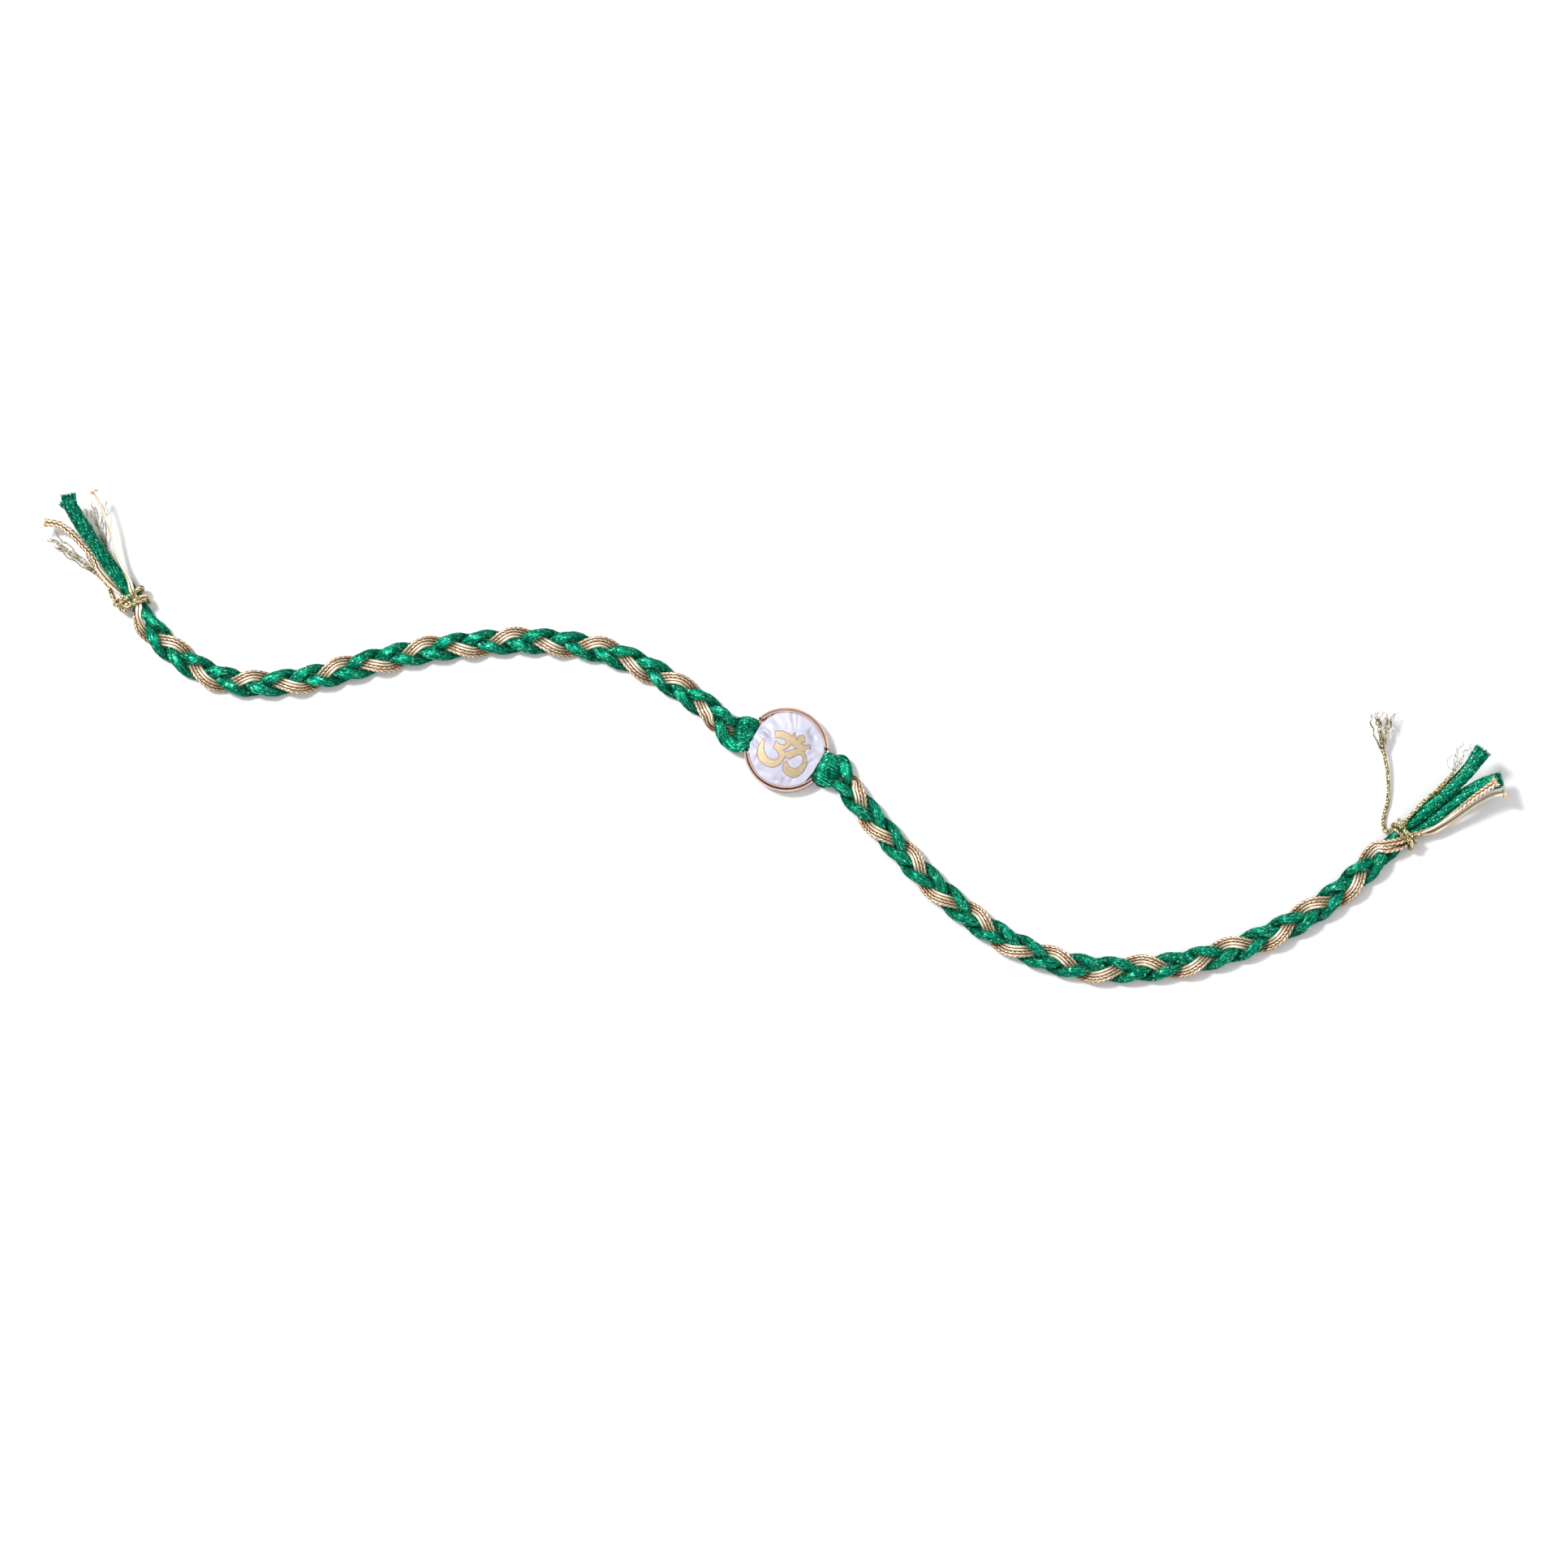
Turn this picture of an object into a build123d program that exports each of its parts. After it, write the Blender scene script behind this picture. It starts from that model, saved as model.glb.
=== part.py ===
"""A rakhi: a coin pearl with an inlaid Om in a thin setting, on two plaited cords with tied, cut ends.

Millimetres, +Z up. The origin is the middle of the setting's flat back, which lies on the table.
The cords lie open in a loose S. Along a plait, s is the distance from the setting and "left" is left
of the way outwards.
"""
import math
import os
from collections import namedtuple

from build123d import *

# Setting
RIM_RADIUS = 7.45
RIM_WALL = 0.5
RIM_HEIGHT = 2.7
BACK_THICK = 0.4
EYE_LINE = 5.75
EYE_SKEW = 6.0
LINER_THICK = 0.3
LINER_HEIGHT = 1.75
BAR_LOW = 1.0
BAR_TOP = 1.9
WINDOW_HALF = 2.85
NOTCH_HALF = 3.1
RIM_BEAD = 0.12

# Pearl
PEARL_RADIUS = 6.82
PEARL_BELLY = 1.35
PEARL_LIP = 6.6
PEARL_EDGE_Z = 2.3
PEARL_TOP = 3.3
DOME_FULLNESS = 0.75
PEARL_GAP = 0.05
SHELF_REACH = 0.05

# Inlaid figure
OM_TURN = -30.3
OM_PROUD = 0.07
OM_DEEP = 0.45
OM_GAP = 0.03

# Cords, plait and thread
STRAND_SWING = 1.5
STRAND_RISE = 0.98
PLAIT_MIDDLE = 1.67
CORD_WIDE = 1.8
CORD_THICK = 1.28
CORD_NIP = 0.14
CORD_LEAN = 45.0
CORD_SIDES = 8
BAND_WIDE = 0.85
BAND_THICK = 0.56
BAND_APART = 0.93
BAND_LEAN = 10.0
PLAIT_STEPS = 12
THREAD_RADIUS = 0.27
THREAD_SIDES = 5
KNOT_STEP = 0.75
TAIL_STEP = 2.6
LEG_GAP = 0.6
STEEP_LEVEL = 0.5

Row = namedtuple("Row", "point wide thick roll step")
Side = namedtuple("Side", "name start heading stretch bends edge pitch last eye knot_lean tie tie_heading")

# Middle line of each plait: a chain of equal arcs, each turning by so many degrees
LEFT = Side(
    name="left",
    start=(-10.21, 4.52),
    heading=140.5,
    stretch=14.34,
    bends=(7.0, 20.8, 14.9, 6.8, 7.0, -12.9, -38.1, -24.1),
    edge=2.4,
    pitch=15.5,
    last=110.5,
    eye=155.2,
    knot_lean=0.0,
    tie=(-114.85, 26.65),
    tie_heading=121.9,
)
RIGHT = Side(
    name="right",
    start=(10.22, -6.07),
    heading=-51.4,
    stretch=14.77,
    bends=(2.5, 8.2, 16.6, 23.4, 13.7, 12.6, 14.0, 14.4),
    edge=0.8,
    pitch=15.76,
    last=112.5,
    eye=-24.8,
    knot_lean=-0.27,
    tie=(108.43, -14.93),
    tie_heading=43.0,
)

# Cord half a, from under the bar: out through the eye, over the bar, round and into the eye again.
# Columns: outward from the pendant's middle, left, height, width, thickness
LOOP_TURN = [
    (7.18, -0.22, 0.45, 1.40, 0.66),
    (6.55, -0.20, 0.55, 1.50, 0.64),
    (6.30, -0.17, 1.40, 1.60, 0.66),
    (6.55, 0.05, 2.30, 1.75, 0.90),
    (7.35, 0.40, 2.62, 1.90, 1.10),
    (8.20, 0.85, 2.60, 1.95, 1.15),
    (8.72, 1.12, 2.05, 1.90, 1.00),
    (8.50, 1.30, 1.35, 1.80, 0.82),
    (7.90, 1.38, 0.72, 1.60, 0.74),
    (7.20, 1.45, 0.45, 1.55, 0.70),
    (6.58, 1.50, 0.55, 1.45, 0.56),
    (6.31, 1.50, 1.40, 1.26, 0.52),
    (6.38, 1.60, 2.16, 1.30, 0.56),
    (6.86, 2.20, 2.66, 1.65, 0.95),
    (7.60, 2.85, 2.55, 1.85, 1.15),
    (8.60, 3.12, 2.10, 1.95, 1.20),
]
# Cord half b, from where it meets half a: over the bar once and back out underneath
STRAIGHT_TURN = [
    (7.42, -0.24, 0.46, 1.40, 0.66),
    (7.90, -0.32, 0.72, 1.55, 0.72),
    (8.50, -0.62, 1.35, 1.80, 0.82),
    (8.72, -0.86, 2.05, 1.90, 1.00),
    (8.20, -1.20, 2.60, 1.95, 1.15),
    (7.35, -1.55, 2.62, 1.90, 1.10),
    (6.26, -1.80, 2.28, 1.50, 0.70),
    (6.12, -1.86, 1.40, 1.45, 0.60),
    (6.42, -1.93, 0.55, 1.50, 0.62),
    (7.20, -1.95, 0.42, 1.50, 0.66),
    (8.20, -1.90, 0.40, 1.50, 0.66),
]
# Legs from the knot into the plait. Columns: past the gold's first edge point, left, height, width, thickness
LOOP_LEG = [
    (-4.1, 2.40, 1.80, 1.95, 1.25),
    (-2.6, 1.98, 2.05, 1.85, 1.20),
    (-1.3, 1.00, 2.14, 1.70, 1.00),
    (-0.4, 0.06, 1.38, 1.55, 0.88),
    (0.4, -0.95, 0.70, 1.50, 0.90),
]
STRAIGHT_LEG = [
    (-2.8, -1.60, 0.90, 1.65, 0.90),
    (-1.9, -1.25, 2.00, 1.75, 1.10),
    (-0.8, -1.06, 2.64, 1.66, 1.02),
]
# Gold pair from its end in the knot. Columns: outward, left, height
BAND_ROOT = (9.05, 0.72, 0.40)
# and on into the plait. Columns: past its first edge point, left, height, roll
BAND_LEG = [
    (-3.2, 0.85, 0.42, 0),
    (-2.0, 1.20, 0.46, 0),
    (-1.0, 1.55, 0.62, -20),
    (-0.2, 1.86, 1.08, -45),
    (0.6, 1.76, 1.98, -38),
]
BAND_ROOT_WIDE = 0.80
BAND_ROOT_THICK = 0.50

# Ends at each tie. Columns: along the tie's heading, left, height, width, thickness, roll
TAILS = {
    ("left", "cord_a"): [
        (-4.4, -0.32, 0.92, 1.75, 1.25, 0),
        (-3.0, -0.62, 1.00, 1.65, 1.20, 0),
        (-1.3, -0.50, 1.34, 1.50, 1.16, 0),
        (0.0, -0.50, 1.34, 1.50, 1.16, 0),
        (1.3, -0.48, 1.36, 1.50, 1.16, 0),
        (3.2, -0.20, 1.72, 1.65, 1.20, 0),
        (7.0, 0.50, 2.35, 1.75, 1.25, 0),
        (12.0, 0.90, 3.20, 1.75, 1.25, 0),
        (17.0, 0.98, 4.15, 1.75, 1.25, 0),
        (21.0, 0.85, 4.72, 2.10, 1.36, 0),
    ],
    ("left", "cord_b"): [
        (-4.4, -0.50, 2.52, 1.75, 1.20, 0),
        (-3.0, 0.00, 2.48, 1.60, 1.15, 0),
        (-1.3, 0.32, 2.46, 1.50, 1.10, 0),
        (0.0, 0.36, 2.48, 1.50, 1.10, 0),
        (1.3, 0.40, 2.52, 1.50, 1.10, 0),
        (3.2, 0.50, 2.98, 1.65, 1.15, 0),
        (7.0, 0.72, 3.62, 1.75, 1.20, 0),
        (12.0, 1.05, 4.48, 1.75, 1.20, 0),
        (17.0, 1.15, 5.42, 1.75, 1.20, 0),
        (21.3, 1.15, 6.32, 2.20, 1.40, 0),
    ],
    ("left", "band_a"): [
        (-4.6, 2.30, 1.35, 0.80, 0.60, 0),
        (-3.0, 1.80, 1.40, 0.80, 0.50, 50),
        (-1.3, 1.30, 1.34, 0.90, 0.40, 88),
        (1.3, 1.30, 1.34, 0.90, 0.40, 88),
        (2.8, 1.60, 1.45, 1.10, 0.42, 60),
        (5.2, 2.20, 1.60, 1.20, 0.50, 10),
        (8.1, 2.60, 1.90, 1.20, 0.50, 0),
        (10.3, 2.30, 2.20, 1.20, 0.50, 0),
        (12.6, 2.70, 2.50, 1.20, 0.50, 0),
        (16.1, 3.50, 3.00, 1.20, 0.50, 0),
        (18.5, 4.50, 3.20, 1.25, 0.50, 0),
        (20.0, 6.30, 3.40, 1.50, 0.55, 0),
    ],
    ("left", "band_b"): [
        (-4.6, 1.32, 1.78, 0.80, 0.60, 0),
        (-3.2, 1.10, 2.98, 0.80, 0.46, 0),
        (-2.2, 0.55, 3.40, 0.88, 0.38, 0),
        (-1.3, -0.02, 3.33, 0.95, 0.38, 0),
        (1.3, -0.30, 3.40, 1.00, 0.38, 0),
        (3.2, -0.85, 3.70, 1.10, 0.40, -50),
        (5.5, -1.00, 3.60, 1.15, 0.45, -80),
        (7.8, -1.25, 3.70, 1.15, 0.45, -85),
        (10.9, -2.10, 4.00, 1.15, 0.45, -85),
        (13.9, -2.90, 4.80, 1.15, 0.45, -85),
        (17.3, -3.60, 5.50, 1.20, 0.45, -85),
        (19.6, -3.80, 6.00, 1.40, 0.50, -70),
    ],
    ("right", "cord_a"): [
        (-3.4, -0.98, 0.98, 1.65, 1.25, 0),
        (-1.3, -0.60, 1.30, 1.50, 1.16, 0),
        (0.0, -0.60, 1.30, 1.50, 1.16, 0),
        (1.3, -0.72, 1.30, 1.50, 1.16, 0),
        (2.8, -1.10, 1.55, 1.75, 1.25, 0),
        (5.3, -1.50, 2.20, 2.00, 1.40, 0),
        (9.5, -1.70, 3.00, 2.00, 1.40, 0),
        (12.6, -2.40, 3.80, 2.00, 1.40, 0),
        (15.6, -3.20, 4.60, 2.00, 1.40, 0),
        (18.2, -4.60, 5.20, 2.30, 1.60, 0),
    ],
    ("right", "cord_b"): [
        (-4.2, 0.85, 1.15, 1.65, 1.20, 0),
        (-3.0, 0.95, 1.15, 1.60, 1.18, 0),
        (-1.3, 0.88, 1.75, 1.50, 1.14, 0),
        (0.0, 0.86, 1.95, 1.50, 1.14, 0),
        (1.3, 0.76, 2.10, 1.50, 1.14, 0),
        (3.0, 0.50, 2.70, 1.75, 1.25, 0),
        (6.4, 0.45, 3.60, 2.00, 1.40, 0),
        (11.1, 0.25, 4.80, 2.00, 1.40, 0),
        (14.9, 0.35, 5.90, 2.00, 1.40, 0),
        (19.2, 1.10, 7.00, 2.40, 1.70, 0),
    ],
    ("right", "band_a"): [
        (-4.2, 1.34, 2.94, 0.80, 0.52, 0),
        (-3.0, 0.50, 2.92, 0.82, 0.55, 0),
        (-1.3, -0.50, 2.70, 0.95, 0.40, 0),
        (0.2, -0.95, 2.62, 0.95, 0.40, -20),
        (1.5, -1.45, 2.62, 1.00, 0.40, -45),
        (2.8, -2.05, 2.65, 1.10, 0.42, -65),
        (5.0, -2.85, 2.90, 1.15, 0.45, -80),
        (8.5, -3.35, 4.00, 1.15, 0.45, -60),
        (12.8, -3.75, 5.60, 1.20, 0.45, -35),
        (16.8, -4.40, 7.00, 1.50, 0.50, -20),
    ],
    ("right", "band_b"): [
        (-4.4, 0.06, 2.98, 0.78, 0.55, 0),
        (-3.2, -0.66, 2.66, 0.82, 0.55, -20),
        (-1.3, -1.68, 1.85, 0.88, 0.36, -84),
        (0.2, -1.62, 1.50, 0.90, 0.38, -88),
        (1.5, -1.72, 1.45, 0.95, 0.40, -86),
        (2.8, -2.45, 1.55, 1.05, 0.42, -80),
        (4.5, -3.30, 1.90, 1.15, 0.42, -80),
        (8.5, -4.10, 2.60, 1.15, 0.42, -80),
        (12.1, -4.60, 3.40, 1.15, 0.42, -80),
        (15.4, -5.50, 4.20, 1.20, 0.42, -75),
        (17.2, -6.70, 4.80, 1.40, 0.45, -70),
    ],
}

# Whipping turns round the bundle. Middle and half sizes are across and up, and angles are degrees up
# from the left. Before and after are the thread's free ends: along the tie's heading, left, height
Whipping = namedtuple("Whipping", "middle half first_angle turns first_at last_at before after")
WHIPPINGS = {
    "left": Whipping(
        middle=(0.14, 2.16),
        half=(1.98, 1.82),
        first_angle=-90.0,
        turns=3.25,
        first_at=0.95,
        last_at=-0.95,
        before=[
            (10.8, -0.30, 0.60),
            (8.0, -0.35, 0.45),
            (5.0, -0.20, 0.36),
            (2.6, 0.10, 0.30),
        ],
        after=[
            (-0.4, 2.60, 1.20),
            (1.0, 3.00, 0.60),
            (2.6, 3.20, 0.50),
            (5.3, 2.80, 0.45),
            (7.7, 3.30, 0.50),
        ],
    ),
    "right": Whipping(
        middle=(-0.10, 1.98),
        half=(2.20, 1.66),
        first_angle=0.0,
        turns=3.15,
        first_at=-0.95,
        last_at=0.95,
        before=[
            (7.6, 13.50, 2.10),
            (7.0, 12.20, 1.80),
            (5.9, 10.40, 1.40),
            (4.2, 8.20, 1.00),
            (2.1, 6.20, 0.70),
            (-0.1, 4.80, 0.50),
            (-1.4, 3.60, 0.45),
            (-1.9, 2.60, 0.90),
        ],
        after=[
            (2.3, 1.55, 3.60),
            (5.9, 1.75, 4.50),
            (9.7, 1.60, 5.60),
            (12.9, 1.80, 6.50),
        ],
    ),
}
TURN_STEPS = 12
TURN_SQUARE = 3.0

# Om outline, upright in its own frame. Columns: arc's middle point (None on a straight side), end point
OM_START = (-3.19, 1.64)
OM_OUTLINE = [
    ((-1.77, 2.44), (-0.20, 2.31)),
    ((-0.16, 2.81), (-0.20, 3.27)),
    ((0.32, 2.63), (0.98, 2.20)),
    (None, (0.67, 2.92)),
    (None, (1.39, 3.60)),
    (None, (1.84, 3.38)),
    (None, (2.16, 2.73)),
    (None, (1.64, 2.16)),
    ((2.33, 2.08), (3.10, 2.68)),
    (None, (3.74, 1.81)),
    (None, (2.69, 1.10)),
    ((3.99, 0.18), (4.36, -2.38)),
    ((3.59, -3.64), (2.07, -3.81)),
    ((1.14, -3.11), (1.15, -1.88)),
    ((2.15, -2.47), (3.00, -2.31)),
    ((3.66, -1.25), (3.55, -0.17)),
    ((2.74, 0.32), (2.02, -0.15)),
    ((1.69, -0.73), (1.29, -1.25)),
    (None, (0.44, -1.34)),
    ((0.43, -2.62), (-0.33, -3.90)),
    ((-2.19, -4.29), (-3.95, -3.26)),
    ((-4.44, -1.58), (-4.13, -0.14)),
    ((-3.67, -1.71), (-2.71, -2.68)),
    ((-1.51, -3.03), (-0.64, -2.73)),
    ((-0.36, -1.88), (-0.93, -1.26)),
    ((-1.42, -1.07), (-1.99, -1.07)),
    (None, (-2.27, 0.31)),
    ((-1.52, 0.07), (-0.85, 0.23)),
    ((-0.49, 0.77), (-1.09, 1.28)),
    ((-1.80, 1.20), (-2.74, 0.70)),
    (None, (-3.19, 1.64)),
]
OM_HOLE_START = (0.32, 1.39)
OM_HOLE = [
    ((0.95, 1.04), (1.64, 0.91)),
    ((0.88, 0.18), (0.08, -0.72)),
    (None, (-0.43, -0.49)),
    ((0.18, 0.40), (0.32, 1.39)),
]


def middle_line(side, s):
    """Point and heading in radians on a plait's middle line; past its arcs the line runs straight on."""
    x, y = side.start
    heading = math.radians(side.heading)
    left = s
    for turn in side.bends:
        bend = math.radians(turn) / side.stretch
        run = min(left, side.stretch)
        x += (math.sin(heading + bend * run) - math.sin(heading)) / bend
        y += (math.cos(heading) - math.cos(heading + bend * run)) / bend
        heading += bend * run
        left -= run
        if left <= 0:
            break
    return x + left * math.cos(heading), y + left * math.sin(heading), heading


def from_heading(x, y, heading, along, left, height):
    """Point so far along a heading, to its left and up."""
    return Vector(
        x + along * math.cos(heading) - left * math.sin(heading),
        y + along * math.sin(heading) + left * math.cos(heading),
        height,
    )


def from_pendant(side, outward, left, height):
    return from_heading(0, 0, math.radians(side.eye), outward, left, height)


def from_plait(side, s, left, height):
    x, y, heading = middle_line(side, s)
    return from_heading(x, y, heading, 0, left, height)


def from_tie(side, along, left, height):
    return from_heading(*side.tie, math.radians(side.tie_heading), along, left, height)


def plait_point(side, s, phase):
    """Middle of a strand in the plait: it swings side to side once a pitch and rises over twice."""
    angle = math.tau * (s - side.edge) / side.pitch + math.radians(phase)
    left = STRAND_SWING * math.cos(angle)
    height = PLAIT_MIDDLE + STRAND_RISE * math.sin(2 * angle)
    return from_plait(side, s, left, height), angle


def phase_stops(side, phase, first, last, steps):
    """Distances between first and last where the strand's phase is a whole step of the pitch."""
    step = side.pitch / steps
    origin = side.edge - phase / 360 * side.pitch
    number = math.ceil((first - origin) / step)
    stops = []
    while origin + number * step <= last:
        stops.append(origin + number * step)
        number += 1
    return stops


def cord_rows(side, phase, turn, leg, tail):
    """A satin cord's rows from the knot through the plait to its cut end."""
    rows = []
    for out, left, z, wide, thick in turn:
        lean = side.knot_lean * (out - EYE_LINE)
        rows.append(Row(from_pendant(side, out, left + lean, z), wide, thick, 0, KNOT_STEP))
    for ahead, left, z, wide, thick in leg:
        rows.append(Row(from_plait(side, side.edge + ahead, left, z), wide, thick, 0, KNOT_STEP * 2))
    first = side.edge + leg[-1][0] + LEG_GAP
    for s in phase_stops(side, phase, first, side.last, PLAIT_STEPS):
        point, angle = plait_point(side, s, phase)
        wide = CORD_WIDE * (1 - CORD_NIP * math.cos(2 * angle))
        lean = -CORD_LEAN * math.sin(3 * angle)
        rows.append(Row(point, wide, CORD_THICK, lean, side.pitch / PLAIT_STEPS))
    for along, left, z, wide, thick, roll in tail:
        rows.append(Row(from_tie(side, along, left, z), wide, thick, roll, TAIL_STEP))
    return rows


def band_rows(side, which, tail):
    """One of the two gold bands, which lie side by side in the plait."""
    offset = which * BAND_APART / 2
    pair = [Row(from_pendant(side, *BAND_ROOT), BAND_ROOT_WIDE, BAND_ROOT_THICK, 0, KNOT_STEP * 2)]
    for ahead, left, z, roll in BAND_LEG:
        point = from_plait(side, side.edge + ahead, left, z)
        pair.append(Row(point, BAND_ROOT_WIDE, BAND_ROOT_THICK, roll, KNOT_STEP * 2))
    first = side.edge + BAND_LEG[-1][0] + LEG_GAP
    for s in phase_stops(side, 0, first, side.last, PLAIT_STEPS):
        point, angle = plait_point(side, s, 0)
        lean = -BAND_LEAN * math.sin(3 * angle)
        pair.append(Row(point, BAND_WIDE, BAND_THICK, lean, side.pitch / PLAIT_STEPS))
    rows = []
    for row, plane in zip(pair, planes_along(pair)):
        roll = math.radians(row.roll)
        across = plane.x_dir * math.cos(roll) + plane.y_dir * math.sin(roll)
        rows.append(row._replace(point=row.point + across * offset))
    for along, left, z, wide, thick, roll in tail:
        rows.append(Row(from_tie(side, along, left, z), wide, thick, roll, TAIL_STEP))
    return rows


def squared(wave):
    """A cosine or sine pressed outwards, which makes a round turn of thread squarer."""
    return math.copysign(abs(wave) ** (2 / TURN_SQUARE), wave)


def whipping_rows(side, whipping):
    """The thread: one free end, its turns round the bundle, and the other free end."""
    rows = [Row(from_tie(side, *end), 1, 1, 0, TAIL_STEP) for end in whipping.before]
    count = round(whipping.turns * TURN_STEPS)
    for number in range(count + 1):
        share = number / count
        angle = math.radians(whipping.first_angle + 360 * whipping.turns * share)
        along = whipping.first_at + (whipping.last_at - whipping.first_at) * share
        left = whipping.middle[0] + whipping.half[0] * squared(math.cos(angle))
        up = whipping.middle[1] + whipping.half[1] * squared(math.sin(angle))
        rows.append(Row(from_tie(side, along, left, up), 1, 1, 0, TAIL_STEP))
    rows += [Row(from_tie(side, *end), 1, 1, 0, TAIL_STEP) for end in whipping.after]
    return rows


def smoothed(rows):
    """Rows with more between them, on a Catmull-Rom curve, where they stand further apart than their step."""
    result = []
    for number in range(len(rows) - 1):
        before = rows[max(number - 1, 0)]
        start = rows[number]
        end = rows[number + 1]
        after = rows[min(number + 2, len(rows) - 1)]
        parts = max(1, round((end.point - start.point).length / start.step))
        for part in range(parts):
            t = part / parts
            point = (
                before.point * (-t + 2 * t**2 - t**3)
                + start.point * (2 - 5 * t**2 + 3 * t**3)
                + end.point * (t + 4 * t**2 - 3 * t**3)
                + after.point * (-(t**2) + t**3)
            ) * 0.5
            wide = start.wide + (end.wide - start.wide) * t
            thick = start.thick + (end.thick - start.thick) * t
            roll = start.roll + (end.roll - start.roll) * t
            result.append(Row(point, wide, thick, roll, start.step))
    result.append(rows[-1])
    return result


def planes_along(rows):
    """A plane at each row, square to the way there, with its x side kept level where the way isn't steep."""
    planes = []
    side = None
    for number, row in enumerate(rows):
        ahead = rows[min(number + 1, len(rows) - 1)].point
        behind = rows[max(number - 1, 0)].point
        way = (ahead - behind).normalized()
        level = Vector(-way.Y, way.X, 0)
        if side is None:
            side = level
        carried = side - way * side.dot(way)
        if level.length > STEEP_LEVEL:
            side = level if level.dot(carried) > 0 else level * -1
        else:
            side = carried
        side = side.normalized()
        planes.append(Plane(origin=row.point, x_dir=side, z_dir=way))
    return planes


def cord_outline(row):
    """Eight points of an ellipse that leans, at angles that stay fixed from row to row."""
    points = []
    for number in range(CORD_SIDES):
        angle = math.tau * (number + 0.5) / CORD_SIDES
        leaned = angle - math.radians(row.roll)
        radius = 1 / math.hypot(math.cos(leaned) / (row.wide / 2), math.sin(leaned) / (row.thick / 2))
        points.append((radius * math.cos(angle), radius * math.sin(angle)))
    return points


def band_outline(row):
    """A flat braid's four corners, rolled about its middle."""
    half, edge = row.wide / 2, row.thick / 2
    corners = [(half, -edge), (half, edge), (-half, edge), (-half, -edge)]
    turn = math.radians(row.roll)
    return [
        (x * math.cos(turn) - y * math.sin(turn), x * math.sin(turn) + y * math.cos(turn)) for x, y in corners
    ]


def thread_outline(row):
    return [
        (
            THREAD_RADIUS * row.wide * math.cos(math.tau * number / THREAD_SIDES),
            THREAD_RADIUS * row.thick * math.sin(math.tau * number / THREAD_SIDES),
        )
        for number in range(THREAD_SIDES)
    ]


def write_strand(label, rows, outline):
    """Close one strand's skin of flat triangles from row to row and write it."""
    rows = smoothed(rows)
    rings = []
    for row, plane in zip(rows, planes_along(rows)):
        rings.append([plane.from_local_coords((x, y, 0)) for x, y in outline(row)])
    facets = [rings[0], rings[-1]]
    for near, far in zip(rings, rings[1:]):
        for number, corner in enumerate(near):
            following = (number + 1) % len(near)
            if (corner - far[following]).length < (near[following] - far[number]).length:
                facets.append((corner, near[following], far[following]))
                facets.append((corner, far[following], far[number]))
            else:
                facets.append((corner, near[following], far[number]))
                facets.append((near[following], far[following], far[number]))
    with BuildPart() as strand:
        add(Solid(Shell([Face(Wire.make_polygon(corners)) for corners in facets])))
    strand.part.label = label
    export_step(strand.part, f"parts/{label}.step")
    return strand.part


def liner_spot(side, out):
    """Place on the line of an eye's inner wall, which is a little askew: x points out, y along the wall."""
    angle = side.eye - EYE_SKEW
    foot = from_pendant(side, EYE_LINE, 0, 0)
    shift = from_heading(0, 0, math.radians(angle), out, 0, 0)
    return Location(foot + shift, (0, 0, angle))


def trace(start, outline):
    """Draw a closed outline of straight sides and arcs from its table."""
    here = start
    for through, end in outline:
        if through is None:
            Line(here, end)
        else:
            ThreePointArc(here, through, end)
        here = end


def dome_profile(rise):
    """Half section of the pearl from its axis, raised by rise for what stands proud of it."""
    low = BACK_THICK + PEARL_GAP
    shoulder = PEARL_EDGE_Z + rise
    top = PEARL_TOP + rise
    crown = shoulder + DOME_FULLNESS * (top - shoulder)
    with BuildSketch(Plane.XZ) as profile:
        with BuildLine():
            Line((0, low), (PEARL_LIP, low))
            ThreePointArc((PEARL_LIP, low), (PEARL_RADIUS, PEARL_BELLY), (PEARL_LIP, shoulder))
            ThreePointArc((PEARL_LIP, shoulder), (PEARL_LIP / 2, crown), (0, top))
            Line((0, top), (0, low))
        make_face()
    return profile.sketch


def om_figure(gap):
    """The Om as a flat face, grown by gap for its pocket."""
    with BuildSketch(Plane.XY.offset(PEARL_EDGE_Z - OM_DEEP - gap).rotated((0, 0, OM_TURN))) as figure:
        with BuildLine():
            trace(OM_START, OM_OUTLINE)
        make_face()
        with BuildLine():
            trace(OM_HOLE_START, OM_HOLE)
        make_face(mode=Mode.SUBTRACT)
        if gap:
            offset(amount=gap)
    return figure.sketch


SIDES = (LEFT, RIGHT)
os.makedirs("parts", exist_ok=True)

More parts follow.
